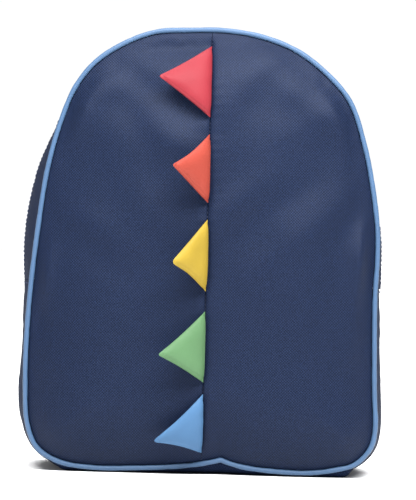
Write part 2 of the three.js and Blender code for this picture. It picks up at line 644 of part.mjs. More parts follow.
function buildStrap(side, name) {
  const half = PAD_THICK / 2;
  const line = new THREE.CatmullRomCurve3(STRAP_LINE.map((row) => offBack(side, row, PAD_THICK)));
  const pad = ribbon(line.getSpacedPoints(20), padWidth, padThick, PAD_SECTION);
  addPiece("strap_pad_" + name, pad, padMaterial);

  const end = line.getPoint(1);
  const centre = offBack(side, BUCKLE_PLACE, PAD_THICK);
  const anchor = offBack(side, ANCHOR_PLACE, 0);
  const along = centre.clone().sub(end).normalize();
  const across = new THREE.Vector3().crossVectors(along, new THREE.Vector3(0, 1, 0)).normalize();
  const out = new THREE.Vector3().crossVectors(across, along);
  const frame = new THREE.Matrix4().makeBasis(along, across, out).setPosition(centre);
  const local = (a, n) => new THREE.Vector3(a, 0, n).applyMatrix4(frame);
  addPiece("strap_buckle_" + name, buckle(frame), plasticMaterial);

  // Both webbings turn round a bar of the buckle at this distance from the bar's middle.
  const turn = BUCKLE_BAR * Math.SQRT1_2 + GAP + WEBBING / 2;
  const arc = (a, from, to) =>
    evenly(6).map((t) => {
      const angle = mix(from, to, t);
      return local(a + turn * Math.sin(angle), turn * Math.cos(angle));
    });
  const topBar = -BUCKLE_LENGTH / 2 + BUCKLE_BAR / 2;
  const toPad = -centre.distanceTo(end) + GAP;
  const loopLine = [local(toPad, turn), ...arc(topBar, 0, Math.PI), local(toPad, -turn)];
  const flat = () => WEBBING;
  const wide = () => WEBBING_WIDTH;
  const loop = bentRibbon(loopLine, across);
  addPiece("buckle_loop_" + name, loop, webbingMaterial);

  const tail = offBack(side, BUCKLE_PLACE, PAD_THICK).addScaledVector(along, TAIL_LENGTH);
  tail.y += 2 * turn;
  tail.z -= turn;
  const lowerPart = [
    offAnchor(anchor, centre, -ANCHOR_LENGTH / 4),
    offAnchor(anchor, centre, 0),
    offAnchor(anchor, centre, ANCHOR_LENGTH / 3),
    local(BUCKLE_LENGTH, -turn * 1.3),
    local(BUCKLE_LENGTH / 2, -turn),
  ];
  const upperPart = [local(BUCKLE_LENGTH / 2, turn), local(BUCKLE_LENGTH, turn * 1.2), tail];
  const webbingLine = [...lowerPart, ...arc(0, Math.PI, 2 * Math.PI), ...upperPart];
  addPiece("strap_webbing_" + name, bentRibbon(webbingLine, across), webbingMaterial);
  addPiece("strap_anchor_" + name, strapAnchor(anchor, centre, side), fabricMaterial);
}

// A point of the webbing that is sewn to the anchor, on the line towards the buckle.
function offAnchor(anchor, buckleCentre, distance) {
  const towards = buckleCentre.clone().sub(anchor).setY(0).normalize();
  const p = anchor.clone().addScaledVector(towards, distance);
  p.y = backDepth(p.x, p.z) + 2 * SEAT + ANCHOR_THICK + WEBBING / 2;
  return p;
}

// A webbing whose points lie in one plane, its width set square to that plane.
function bentRibbon(line, across) {
  return loft(
    line.map((place, i) => {
      const before = line[Math.max(i - 1, 0)];
      const after = line[Math.min(i + 1, line.length - 1)];
      const along = after.clone().sub(before).normalize();
      const out = new THREE.Vector3().crossVectors(across, along).normalize();
      return FLAT_SECTION.map(([b, n]) =>
        place.clone().addScaledVector(across, b * WEBBING_WIDTH).addScaledVector(out, n * WEBBING),
      );
    }),
  );
}

// A triangle of cloth in the lower corner of the back, to which the webbing is sewn.
function strapAnchor(anchor, buckleCentre, side) {
  const towards = buckleCentre.clone().sub(anchor).setY(0).normalize();
  const across = new THREE.Vector3(towards.z, 0, -towards.x);
  const place = (u, v, face) => {
    const wide = mix(ANCHOR_WIDTH, WEBBING_WIDTH + 2, v);
    const p = anchor.clone().addScaledVector(towards, (v - 0.5) * ANCHOR_LENGTH);
    p.addScaledVector(across, (u - 0.5) * wide);
    p.y = backDepth(p.x, p.z) + SEAT + face * ANCHOR_THICK;
    return p;
  };
  return sheet(place, evenly(4), evenly(4));
}

// The grab handle: a webbing sewn flat to the back at both ends and standing off between them.
function buildHandle() {
  const steps = 20;
  const line = Array.from({ length: steps + 1 }, (_, i) => {
    const t = mix(-1, 1, i / steps);
    const rise = Math.cos((Math.PI / 2) * clampShare(Math.abs(t) / 0.78, 0, 1)) ** 0.8;
    const x = (t * HANDLE_LENGTH) / 2;
    const y = backDepth(0, HANDLE_HEIGHT) + SEAT + HANDLE_THICK / 2 + rise * HANDLE_BOW;
    return new THREE.Vector3(x, y, HANDLE_HEIGHT);
  });
  const handle = ribbon(line, () => HANDLE_WIDTH, () => HANDLE_THICK, FLAT_SECTION);
  addPiece("grab_handle", handle, webbingMaterial);
}

buildFront();
buildGusset();
buildZip();
buildBack();
buildSpikes();
buildStrap(-1, "left");
buildStrap(1, "right");
buildHandle();

// The origin goes to the floor under the middle of the bag.
const extent = new THREE.Box3().setFromObject(bag);
const middle = extent.getCenter(new THREE.Vector3());
bag.position.set(-middle.x, -middle.y, -extent.min.z);

export default bag;
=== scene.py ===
# A child's navy backpack with padded spikes down its front, dressed for a product photograph.
# Shapes are worked out in millimetres in the bag's own frame and placed in the row frame in metres.
import json
import math

import bpy
import numpy as np
from mathutils import Matrix, Vector

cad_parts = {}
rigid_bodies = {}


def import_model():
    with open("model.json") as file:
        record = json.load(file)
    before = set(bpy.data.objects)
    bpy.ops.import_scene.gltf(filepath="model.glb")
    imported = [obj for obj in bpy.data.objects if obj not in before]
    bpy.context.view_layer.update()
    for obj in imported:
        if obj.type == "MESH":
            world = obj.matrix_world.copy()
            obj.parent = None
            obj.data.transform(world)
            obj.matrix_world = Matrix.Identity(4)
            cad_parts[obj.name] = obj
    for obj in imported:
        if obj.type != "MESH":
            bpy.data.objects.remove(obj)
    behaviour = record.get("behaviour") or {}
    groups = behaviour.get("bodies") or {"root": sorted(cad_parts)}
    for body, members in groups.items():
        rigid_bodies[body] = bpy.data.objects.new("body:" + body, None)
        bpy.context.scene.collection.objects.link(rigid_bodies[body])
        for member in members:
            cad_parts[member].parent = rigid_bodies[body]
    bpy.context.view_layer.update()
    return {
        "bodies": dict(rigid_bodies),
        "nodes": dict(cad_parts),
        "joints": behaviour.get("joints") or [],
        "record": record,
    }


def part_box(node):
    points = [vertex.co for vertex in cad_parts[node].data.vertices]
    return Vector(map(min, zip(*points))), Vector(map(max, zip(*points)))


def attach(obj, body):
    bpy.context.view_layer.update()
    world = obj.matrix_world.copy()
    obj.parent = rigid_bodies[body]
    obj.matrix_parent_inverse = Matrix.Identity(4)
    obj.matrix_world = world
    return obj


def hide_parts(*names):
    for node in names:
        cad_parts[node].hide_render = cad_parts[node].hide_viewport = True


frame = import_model()

# The same sizes and tables as the CAD source, in millimetres.
BODY_HEIGHT = 320.0
PANEL_WIDTH = 249.0
HALF_WIDTH = PANEL_WIDTH / 2
GUSSET_DEPTH = 100.0
FABRIC = 1.4
GAP = 0.3
SEAT = 0.8
PIPING = 3.6
GUSSET_BULGE = 12.0
BACK_FLARE = 0.35
FLOOR_SETTLE = 7.0
FRONT_CROWN = 21.0
CROWN_REACH_TOP = 98.0
CROWN_REACH_BASE = 46.0
CROWN_POWER = 2.0
SEAM_X = 3.0
SEAM_DIP = 0.8
SEAM_DIP_REACH = 3.0
SEAM_CALM = 13.0
HALF_START = 12.0
DENT_RISE = 8.6
DENT_X = 17.0
DENT_LEFT = 29.0
DENT_RIGHT = 19.0
DENT_DEPTH = 16.0
BACK_CROWN = 6.0
BACK_REACH = 40.0
BACK_CORNER = 112.0
BACK_TOP = 18.0
ZIP_HEIGHT = 136.0
ZIP_SETBACK = 40.0
ZIP_OPENING = 9.0
ZIP_TAPE = 0.8
ZIP_TAPE_LAP = 7.0
SLIDER_LENGTH = 12.0
SLIDER_WIDTH = 9.0
SLIDER_HEIGHT = 3.6
SLIDER_OFFSET = 60.0
COIL_HEIGHT = 1.6
PULL_LENGTH = 26.0
PULL_WIDTH = 7.0
PULL_THICK = 1.6
SPIKE_HEIGHT = 40.0
SPIKE_BASE = 50.0
SPIKE_PUFF = 7.5
SPIKE_EDGE = 1.4
SPIKE_RISE = 5.0
SPIKE_BEND = 4.0
PAD_WIDTH = 45.0
PAD_TOP_WIDTH = 38.0
PAD_END_WIDTH = 27.0
PAD_THICK = 9.0
STRAP_BOW = 36.0
WEBBING_WIDTH = 20.0
WEBBING = 1.4
TAIL_LENGTH = 62.0
BUCKLE_LENGTH = 21.0
BUCKLE_BAR = 3.0
ANCHOR_WIDTH = 34.0
ANCHOR_LENGTH = 36.0
ANCHOR_THICK = 2.0
HANDLE_LENGTH = 96.0
HANDLE_WIDTH = 22.0
HANDLE_THICK = 2.4
HANDLE_BOW = 20.0
HANDLE_DROP = 30.0
HANDLE_HEIGHT = BODY_HEIGHT - HANDLE_DROP
SEAM_EDGE = PIPING / 2 + GAP
ZIP_BACK = ZIP_SETBACK + ZIP_OPENING

# The front seam from the bottom of the middle seam round by the left: shares of half the
# panel's width, of the body's height and of the gusset's bulge.
OUTLINE = [
    (0.024, 0.0085, 0.33),
    (-0.32, 0.0085, 0.33),
    (-0.62, 0.0095, 0.34),
    (-0.8, 0.0215, 0.46),
    (-0.925, 0.0515, 0.55),
    (-0.985, 0.106, 0.58),
    (-1.002, 0.2, 0.62),
    (-1, 0.31, 0.48),
    (-0.981, 0.43, 0.72),
    (-0.948, 0.555, 0.98),
    (-0.906, 0.675, 0.78),
    (-0.842, 0.776, 0.43),
    (-0.757, 0.862, 0.25),
    (-0.64, 0.921, 0.18),
    (-0.475, 0.964, 0.17),
    (-0.3, 0.99, 0.17),
    (-0.1, 0.996, 0.17),
    (0.1, 0.997, 0.17),
    (0.31, 0.985, 0.17),
    (0.512, 0.956, 0.17),
    (0.69, 0.906, 0.17),
    (0.829, 0.844, 0.18),
    (0.918, 0.748, 0.3),
    (0.971, 0.655, 0.37),
    (1.005, 0.56, 0.38),
    (1.009, 0.495, 0.4),
    (1.001, 0.41, 0.52),
    (1.005, 0.29, 0.6),
    (1.012, 0.19, 0.66),
    (1.022, 0.115, 0.6),
    (1.006, 0.0765, 0.58),
    (0.968, 0.052, 0.57),
    (0.9, 0.0295, 0.52),
    (0.8, 0.0185, 0.43),
    (0.66, 0.0098, 0.36),
    (0.36, 0.0085, 0.33),
]

# The front panel's soft folds: x and z as above, the turn from upright towards the right in
# degrees, length and width as shares of the panel's width, rise as a share of the crown.
FOLDS = [
    (-0.74, 0.8, 20, 0.075, 0.055, 0.23),
    (-0.58, 0.862, 70, 0.07, 0.05, 0.15),
    (-0.43, 0.895, -55, 0.14, 0.045, -0.08),
    (-0.36, 0.905, -55, 0.12, 0.05, 0.07),
    (-0.17, 0.96, 85, 0.14, 0.045, -0.13),
    (-0.16, 0.735, -50, 0.11, 0.06, 0.18),
    (-0.16, 0.83, -60, 0.12, 0.05, -0.07),
    (-0.46, 0.815, -42, 0.12, 0.055, -0.1),
    (-0.6, 0.665, -45, 0.15, 0.09, -0.09),
    (-0.28, 0.585, -30, 0.12, 0.07, 0.09),
    (-0.2, 0.645, -60, 0.1, 0.05, -0.05),
    (-0.57, 0.54, -60, 0.17, 0.04, 0.05),
    (-0.62, 0.49, -55, 0.14, 0.05, -0.07),
    (-0.93, 0.445, 5, 0.08, 0.035, 0.27),
    (-0.95, 0.34, 0, 0.05, 0.03, -0.16),
    (0.16, 0.915, 50, 0.12, 0.05, 0.11),
    (0.3, 0.905, 45, 0.17, 0.05, 0.17),
    (0.5, 0.868, -60, 0.07, 0.05, 0.13),
    (0.71, 0.812, -25, 0.075, 0.06, 0.23),
    (0.785, 0.75, -5, 0.1, 0.03, 0.09),
    (0.6, 0.69, 30, 0.14, 0.09, -0.09),
    (0.16, 0.6, 45, 0.12, 0.05, 0.15),
    (0.41, 0.6, 53, 0.18, 0.045, -0.07),
    (0.56, 0.54, 51, 0.24, 0.04, 0.06),
    (0.87, 0.59, 35, 0.12, 0.045, -0.09),
    (0.94, 0.49, 3, 0.1, 0.035, 0.32),
    (0.71, 0.42, 5, 0.14, 0.045, -0.07),
    (0.88, 0.38, 3, 0.2, 0.035, 0.07),
]

# name, foot, long, tip, reach, upper, lower as in the CAD source
SPIKES = [
    ("spike_red", 0.798, 1.04, 0.54, 0.93, 0.02, 0.01),
    ("spike_orange", 0.608, 0.98, 0.52, 0.64, 0.05, 0.005),
    ("spike_yellow", 0.412, 1.02, 0.4, 0.61, 0.01, 0.045),
    ("spike_green", 0.21, 1.01, 0.39, 0.81, 0.02, 0.022),
    ("spike_blue", 0.05, 0.86, 0.21, 0.87, 0.025, 0.035),
]
SPIKE_TIPS = {
    "spike_red": 2.2,
    "spike_orange": 2.4,
    "spike_yellow": 4.4,
    "spike_green": 2.2,
    "spike_blue": 3.6,
}
SPIKE_COLOURS = {
    "spike_red": (0.165, 0.0155, 0.022),
    "spike_orange": (0.212, 0.033, 0.022),
    "spike_yellow": (0.23, 0.16, 0.02),
    "spike_green": (0.062, 0.13, 0.06),
    "spike_blue": (0.046, 0.108, 0.205),
}

# Shares of half the panel's width, of the body's height and of the strap's bow.
STRAP_LINE = [
    (0.26, 0.85, 0.0),
    (0.28, 0.805, 0.16),
    (0.35, 0.73, 0.78),
    (0.45, 0.6, 1.0),
    (0.56, 0.47, 0.86),
    (0.65, 0.36, 0.56),
]
BUCKLE_PLACE = (0.69, 0.3, 0.42)
ANCHOR_PLACE = (0.78, 0.1, 0.0)


# Curves and fields

def mix(a, b, t):
    return a + (b - a) * t


def smoothstep(value, low, high):
    t = np.clip((value - low) / (high - low), 0, 1)
    return t * t * (3 - 2 * t)


def unit(v):
    return v / np.maximum(np.linalg.norm(v, axis=-1, keepdims=True), 1e-9)


def distances(points):
    """How far along a line each of its points lies."""
    return np.concatenate([[0], np.cumsum(np.linalg.norm(np.diff(points, axis=0), axis=1))])


def smooth_curve(points, closed, steps=40):
    """Points along a centripetal Catmull-Rom curve through the given points, evenly spaced by length."""
    p = np.asarray(points, float)
    n = len(p)
    if closed:
        p = np.vstack([p[-1], p, p[0], p[1]])
        spans = n
    else:
        p = np.vstack([2 * p[0] - p[1], p, 2 * p[-1] - p[-2]])
        spans = n - 1
    t = np.linspace(0, 1, steps, endpoint=False)[:, None]
    out = []
    for i in range(spans):
        a, b, c, d = p[i : i + 4]
        k0, k1, k2 = [max(np.linalg.norm(v) ** 0.5, 1e-4) for v in (b - a, c - b, d - c)]
        m1 = ((b - a) / k0 - (c - a) / (k0 + k1) + (c - b) / k1) * k1
        m2 = ((c - b) / k1 - (d - b) / (k1 + k2) + (d - c) / k2) * k1
        cubic = (2 * b - 2 * c + m1 + m2) * t**3 + (-3 * b + 3 * c - 2 * m1 - m2) * t**2 + m1 * t + b
        out.append(cubic)
    line = np.vstack(out + [p[-2:-1] if not closed else p[1:2]])
    lengths = distances(line)
    even = np.linspace(0, lengths[-1], len(line))
    return np.stack([np.interp(even, lengths, line[:, k]) for k in range(line.shape[1])], 1), lengths[-1]


ring_rows = [(x * HALF_WIDTH, b * GUSSET_BULGE, z * BODY_HEIGHT) for x, z, b in OUTLINE]
ring_line, RING_LENGTH = smooth_curve(ring_rows, True, 90)
ring_shares = np.linspace(0, 1, len(ring_line))


def ring_at(share):
    """x, z, bulge and the outward direction of the front seam, at shares of its length."""
    s = np.asarray(share, float) % 1.0
    x, bulge, z = [np.interp(s, ring_shares, ring_line[:, k]) for k in range(3)]
    step = 0.0005
    ahead, behind = (s + step) % 1.0, (s - step) % 1.0
    dx = np.interp(ahead, ring_shares, ring_line[:, 0]) - np.interp(behind, ring_shares, ring_line[:, 0])
    dz = np.interp(ahead, ring_shares, ring_line[:, 2]) - np.interp(behind, ring_shares, ring_line[:, 2])
    size = np.hypot(dx, dz)
    return x, z, bulge, -dz / size, dx / size


def share_where(axis, value, low, high):
    """The share between low and high at which the seam's x (0) or z (1) passes a value."""
    shares = np.linspace(low, high, 4000)
    values = ring_at(shares)[axis] - value
    turn = np.nonzero(np.diff(np.sign(values)))[0][0]
    return shares[turn]


TOP_SHARE = share_where(0, SEAM_X, 0.3, 0.7)
LEFT_JOIN = share_where(1, ZIP_HEIGHT, 0.1, TOP_SHARE)
RIGHT_JOIN = share_where(1, ZIP_HEIGHT, TOP_SHARE, 0.9)
JOIN_GAP = GAP / RING_LENGTH


BACKWARDS = np.array([0.0, 1.0, 0.0])
FORWARDS = np.array([0.0, -1.0, 0.0])
UPWARDS = np.array([0.0, 0.0, 1.0])
LATTICE = 64


def lattice_noise(x, y, size, seed):
    """Smooth noise between -1 and 1 with features of about the given size."""
    rng = np.random.default_rng(seed)
    table = rng.uniform(-1, 1, (LATTICE, LATTICE))
    gx, gy = np.asarray(x) / size, np.asarray(y) / size
    ix, iy = np.floor(gx).astype(int), np.floor(gy).astype(int)
    fx, fy = gx - ix, gy - iy
    fx, fy = fx * fx * (3 - 2 * fx), fy * fy * (3 - 2 * fy)

    def at(a, b):
        return table[(ix + a) % LATTICE, (iy + b) % LATTICE]

    return mix(mix(at(0, 0), at(1, 0), fx), mix(at(0, 1), at(1, 1), fx), fy)


def dent_lift(x, z, depth):
    side = np.where(x < DENT_X, DENT_LEFT, DENT_RIGHT)
    low = np.clip(1 - z / (BODY_HEIGHT / 4), 0, 1)
    fade = np.clip(1 - depth / DENT_DEPTH, 0, 1)
    return DENT_RISE * np.exp(-np.abs(x - DENT_X) / side) * low * fade**2


def gusset_point(share, depth, inset=0.0):
    """Points of the gusset, inset from its outer face, as in the CAD source."""
    x, z, bulge, ox, oz = ring_at(share)
    t = depth / GUSSET_DEPTH
    reach = bulge * mix(np.sin(np.pi * t), 1, BACK_FLARE * t * t)
    down = smoothstep(-oz, 0.88, 0.99)
    settle = down * np.sin(np.pi / 2 * np.clip(depth / FLOOR_SETTLE, 0, 1))
    low = (z + oz * reach) * (1 - settle) + dent_lift(x, z, depth)
    px = x + ox * (reach - inset)
    pz = np.maximum(low - oz * inset, inset)
    return np.stack(np.broadcast_arrays(px, depth, pz), -1)


SEAM_SAMPLES = 720
seam_shares = np.arange(SEAM_SAMPLES) / SEAM_SAMPLES
front_seam = gusset_point(seam_shares, 0.0)[:, [0, 2]]
back_seam = gusset_point(seam_shares, GUSSET_DEPTH)[:, [0, 2]]


def inset_from(seam, x, z):
    """How far points lie in from a seam, seen from the front."""
    a = seam
    d = np.roll(seam, -1, axis=0) - a
    flat = np.stack([np.ravel(x), np.ravel(z)], 1)
    out = np.empty(len(flat))
    for start in range(0, len(flat), 4000):
        p = flat[start : start + 4000, None, :]
        t = np.clip(((p - a) * d).sum(-1) / (d * d).sum(-1), 0, 1)
        out[start : start + 4000] = np.linalg.norm(p - a - t[..., None] * d, axis=-1).min(1)
    return out.reshape(np.shape(x))


def swelling(inset, crown, reach):
    return crown * (1 - (1 - np.clip(inset / reach, 0, 1)) ** CROWN_POWER)


def fold_height(x, z):
    total = np.zeros(np.shape(x))
    for fx, fz, turn, length, width, rise in FOLDS:
        angle = math.radians(turn)
        dx, dz = x - fx * HALF_WIDTH, z - fz * BODY_HEIGHT
        along = (dx * math.sin(angle) + dz * math.cos(angle)) / (length * PANEL_WIDTH)
        across = (dx * math.cos(angle) - dz * math.sin(angle)) / (width * PANEL_WIDTH)
        total += rise * FRONT_CROWN * np.exp(-(along**2) - across**2)
    return total


def spike_cover(z):
    """1 where a spike sits on the middle seam, 0 between the spikes."""
    cover = np.zeros(np.shape(z))
    for _, foot, long, *_ in SPIKES:
        low, high = foot * BODY_HEIGHT, foot * BODY_HEIGHT + long * SPIKE_BASE
        cover = np.maximum(cover, smoothstep(z, low - 1, low + 1) * (1 - smoothstep(z, high - 1, high + 1)))
    return cover


PUCKER_PITCH = 7.5  # the middle seam's small gathers
PUCKER_RISE = 0.22
PUCKER_REACH = 5.5
SEAM_GROOVE = 1.3  # how deep the middle seam sinks
SEAM_GROOVE_WIDTH = 0.9


def front_height(x, z, fine=True):
    """How far the front panel stands out of the seam's plane; fine adds the small wrinkles."""
    x, z = np.asarray(x, float), np.asarray(z, float)
    inset = np.maximum(0, inset_from(front_seam, x, z) - SEAM_EDGE)
    reach = mix(CROWN_REACH_BASE, CROWN_REACH_TOP, z / BODY_HEIGHT)
    fade = smoothstep(inset, 0, SEAM_CALM)
    off = np.abs(x - SEAM_X)
    dip = SEAM_DIP * np.exp(-((off / SEAM_DIP_REACH) ** 2))
    height = swelling(inset, FRONT_CROWN, reach) + (fold_height(x, z) - dip) * fade
    if not fine:
        return height
    pucker = np.sin(2 * np.pi * z / PUCKER_PITCH + 2.2 * lattice_noise(x, z, 16, 3))
    height += PUCKER_RISE * pucker * np.exp(-off / PUCKER_REACH) * (1 - np.exp(-off / 1.2)) * fade
    groove = SEAM_GROOVE * np.exp(-off / SEAM_GROOVE_WIDTH) * fade
    gather = lattice_noise(x * 1.4, z * 1.4, 9, 5) * np.exp(-inset / 9) * (1 - np.exp(-inset / 2))
    drape = 0.55 * lattice_noise(x + 0.4 * z, z, 34, 8) + 0.16 * lattice_noise(x, z, 13, 9)
    return height - groove + 0.45 * gather + drape * np.clip(inset / 14, 0, 1)


def back_depth(x, z):
    inset = inset_from(back_seam, x, z)
    return GUSSET_DEPTH + GAP + FABRIC + swelling(inset, BACK_CROWN, BACK_REACH)


# Placing: the piping's box gives where the bag's own frame lies in the row frame.

piping_low, piping_high = [np.array(v) * 1000 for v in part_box("front_piping")]
own_piping = gusset_point(np.arange(96) / 96, 0.0)
OFFSET = np.array(
    [
        (piping_low[0] + piping_high[0]) / 2 - (own_piping[:, 0].min() + own_piping[:, 0].max()) / 2,
        (piping_low[1] + piping_high[1]) / 2,
        0.0,
    ]
)


def to_row(points):
    return (np.asarray(points, float) + OFFSET) / 1000


def make_object(name, vertices, faces, material, uvs=None, sharp=40):
    mesh = bpy.data.meshes.new(name)
    mesh.from_pydata([tuple(v) for v in to_row(vertices)], [], [tuple(f) for f in faces])
    if uvs is not None:
        layer = mesh.uv_layers.new(name="UVMap")
        indices = np.empty(len(mesh.loops), dtype=np.int32)
        mesh.loops.foreach_get("vertex_index", indices)
        layer.data.foreach_set("uv", (np.asarray(uvs, float)[indices] / 1000).ravel())
    mesh.validate()
    mesh.update()
    mesh.shade_smooth()
    mesh.set_sharp_from_angle(angle=math.radians(sharp))
    obj = bpy.data.objects.new(name, mesh)
    bpy.context.scene.collection.objects.link(obj)
    obj.data.materials.append(material)
    return obj


def place_piece(obj, slot, *nodes):
    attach(obj, "root")
    if nodes:
        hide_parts(*nodes)
    return obj


def outward(faces, vertices):
    """The faces, all turned over if they enclose a negative volume."""
    v = np.asarray(vertices, float)
    f = np.asarray(faces)
    a, b, c, d = v[f[:, 0]], v[f[:, 1]], v[f[:, 2]], v[f[:, 3]]
    volume = (a * np.cross(b, c)).sum() + (a * np.cross(c, d)).sum()
    return f[:, ::-1] if volume < 0 else f


def sheet_faces(columns, rows):
    """Quads of a closed shell of two grids of columns by rows points."""
    i, j = np.meshgrid(np.arange(columns - 1), np.arange(rows - 1), indexing="ij")

    def at(face, a, b):
        return ((face * columns + a) * rows + b).ravel()

    def quad(*corners):
        return np.stack(corners, 1)

    top = quad(at(0, i, j), at(0, i + 1, j), at(0, i + 1, j + 1), at(0, i, j + 1))
    under = quad(at(1, i, j + 1), at(1, i + 1, j + 1), at(1, i + 1, j), at(1, i, j))
    c, r = np.arange(columns - 1), np.arange(rows - 1)
    last_column, last_row = columns - 1, rows - 1
    low = quad(at(1, c, 0), at(1, c + 1, 0), at(0, c + 1, 0), at(0, c, 0))
    high = quad(at(0, c, last_row), at(0, c + 1, last_row), at(1, c + 1, last_row), at(1, c, last_row))
    left = quad(at(0, 0, r), at(0, 0, r + 1), at(1, 0, r + 1), at(1, 0, r))
    right = quad(
        at(1, last_column, r), at(1, last_column, r + 1), at(0, last_column, r + 1), at(0, last_column, r)
    )
    return np.vstack([top, under, low, high, left, right])


def sheet_object(name, outer, inner, uv, material):
    """A closed cloth shell between two grids of points, with the same uv on both."""
    columns, rows = outer.shape[:2]
    vertices = np.vstack([outer.reshape(-1, 3), inner.reshape(-1, 3)])
    uvs = np.vstack([uv.reshape(-1, 2), uv.reshape(-1, 2)])
    faces = outward(sheet_faces(columns, rows), vertices)
    return make_object(name, vertices, faces, material, uvs)


def loft_object(name, rings, material, uvs=None, closed=False, sharp=40):
    """A body through rings of equally many points; closed joins the last ring to the first."""
    count, sides = rings.shape[:2]
    spans = count if closed else count - 1
    i, j = np.meshgrid(np.arange(spans), np.arange(sides), indexing="ij")
    after, beside = (i + 1) % count, (j + 1) % sides

    def index(a, b):
        return (a * sides + b).ravel()

    faces = np.stack([index(i, j), index(i, beside), index(after, beside), index(after, j)], 1)
    vertices = rings.reshape(-1, 3)
    faces = [list(f) for f in outward(faces, vertices)]
    if not closed:
        first, last = list(range(sides)), list(range((count - 1) * sides, count * sides))
        turned = faces[0][0] == 0
        faces += [first[::-1] if turned else first, last if turned else last[::-1]]
    flat = None if uvs is None else uvs.reshape(-1, 2)
    return make_object(name, vertices, faces, material, flat, sharp)


# Materials

class Maker:
    """A Principled material whose nodes are added one by one."""

    def __init__(self, name, roughness, specular=0.5, shine=(1, 1, 1), sheen=0.0, sheen_tint=(1, 1, 1)):
        self.material = bpy.data.materials.new(name)
        self.material.use_nodes = True
        self.nodes = self.material.node_tree.nodes
        self.links = self.material.node_tree.links
        self.shader = self.nodes["Principled BSDF"]
        self.shader.inputs["Roughness"].default_value = roughness
        self.shader.inputs["Specular IOR Level"].default_value = specular
        self.shader.inputs["Sheen Weight"].default_value = sheen
        self.shader.inputs["Sheen Roughness"].default_value = 0.4
        self.shader.inputs["Sheen Tint"].default_value = (*sheen_tint, 1)
        self.shader.inputs["Specular Tint"].default_value = (*shine, 1)

    def node(self, kind, **inputs):
        node = self.nodes.new(kind)
        for key, value in inputs.items():
            socket = node.inputs[int(key[1:])] if key[0] == "i" and key[1:].isdigit() else node.inputs[key]
            if isinstance(value, bpy.types.NodeSocket):
                self.links.new(value, socket)
            else:
                socket.default_value = value
        return node

    def math(self, operation, a, b=0.0):
        node = self.node("ShaderNodeMath", i0=a, i1=b)
        node.operation = operation
        return node.outputs[0]

    def uv(self):
        return self.node("ShaderNodeTexCoord").outputs["UV"]

    def place(self):
        return self.node("ShaderNodeTexCoord").outputs["Object"]

    def noise(self, vector, scale, detail=2.0, roughness=0.5):
        node = self.node("ShaderNodeTexNoise", Vector=vector, Scale=scale, Detail=detail, Roughness=roughness)
        return node.outputs[0]

    def stretched(self, vector, scale):
        node = self.node("ShaderNodeMapping", Vector=vector, Scale=scale)
        return node.outputs[0]

    def wave(self, value, period):
        return self.math("SINE", self.math("MULTIPLY", value, 2 * math.pi / period))

    def blend(self, factor, dark, light):
        node = self.nodes.new("ShaderNodeMix")
        node.data_type = "RGBA"
        self.links.new(factor, node.inputs[0])
        node.inputs[6].default_value = (*dark, 1)
        node.inputs[7].default_value = (*light, 1)
        return node.outputs[2]

    def colour(self, socket):
        self.links.new(socket, self.shader.inputs["Base Color"])

    def rough(self, socket):
        self.links.new(socket, self.shader.inputs["Roughness"])

    def bump(self, height, distance, strength=1.0, under=None):
        node = self.node("ShaderNodeBump", Height=height, Distance=distance, Strength=strength)
        if under is not None:
            self.links.new(under, node.inputs["Normal"])
        self.links.new(node.outputs[0], self.shader.inputs["Normal"])
        return node.outputs[0]


def scaled(colour, k):
    return tuple(min(1.0, c * k) for c in colour)


def woven(name, colour, pitch=0.001, bump=0.00012, specular=0.12, roughness=0.5):
    """Plain-woven nylon: threads over and under each other, a little uneven."""
    m = Maker(name, roughness, specular=specular, shine=(0.68, 0.76, 1.0))
    uv = m.uv()
    parts = m.node("ShaderNodeSeparateXYZ", Vector=uv)
    across, along = parts.outputs[0], parts.outputs[1]
    dots = m.math("MULTIPLY", m.wave(across, 2 * pitch), m.wave(along, 2 * pitch))
    warp = m.noise(m.stretched(uv, (1 / pitch, 60, 1)), 1.0, 1.0)
    weft = m.noise(m.stretched(uv, (60, 1 / pitch, 1)), 1.0, 1.0)
    threads = m.math("ADD", m.math("MULTIPLY", warp, 0.5), m.math("MULTIPLY", weft, 0.5))
    height = m.math("ADD", m.math("MULTIPLY", dots, 0.5), threads)
    cloud = m.noise(m.place(), 14.0, 3.0)
    grit = m.noise(m.place(), 700.0, 2.0)
    tone = m.math("ADD", m.math("MULTIPLY", dots, 0.75), m.math("MULTIPLY", threads, 0.5))
    tone = m.math("ADD", tone, m.math("MULTIPLY", grit, 0.9))
    tone = m.math("ADD", tone, m.math("MULTIPLY", cloud, 0.2))
    m.colour(m.blend(m.math("SUBTRACT", tone, 0.45), scaled(colour, 0.5), scaled(colour, 1.56)))
    m.bump(height, bump)
    return m.material


def webbing_material(name, colour):
    """Ribbed webbing: a herringbone of ribs across a strap, u along it and v across."""
    m = Maker(name, 0.6, specular=0.2, sheen=0.05, sheen_tint=(0.75, 0.82, 1.0))
    uv = m.uv()
    parts = m.node("ShaderNodeSeparateXYZ", Vector=uv)
    along, across = parts.outputs[0], parts.outputs[1]
    zigzag = m.node("ShaderNodeMath", i0=across, i1=0.0028)
    zigzag.operation = "PINGPONG"
    ribs = m.wave(m.math("ADD", along, zigzag.outputs[0]), 0.0015)
    grain = m.noise(m.stretched(uv, (1500, 1500, 1)), 1.0, 2.0)
    tone = m.math("ADD", m.math("MULTIPLY", ribs, 0.2), grain)
    m.colour(m.blend(tone, scaled(colour, 0.6), scaled(colour, 1.4)))
    m.bump(m.math("ADD", ribs, grain), 0.00018)
    return m.material


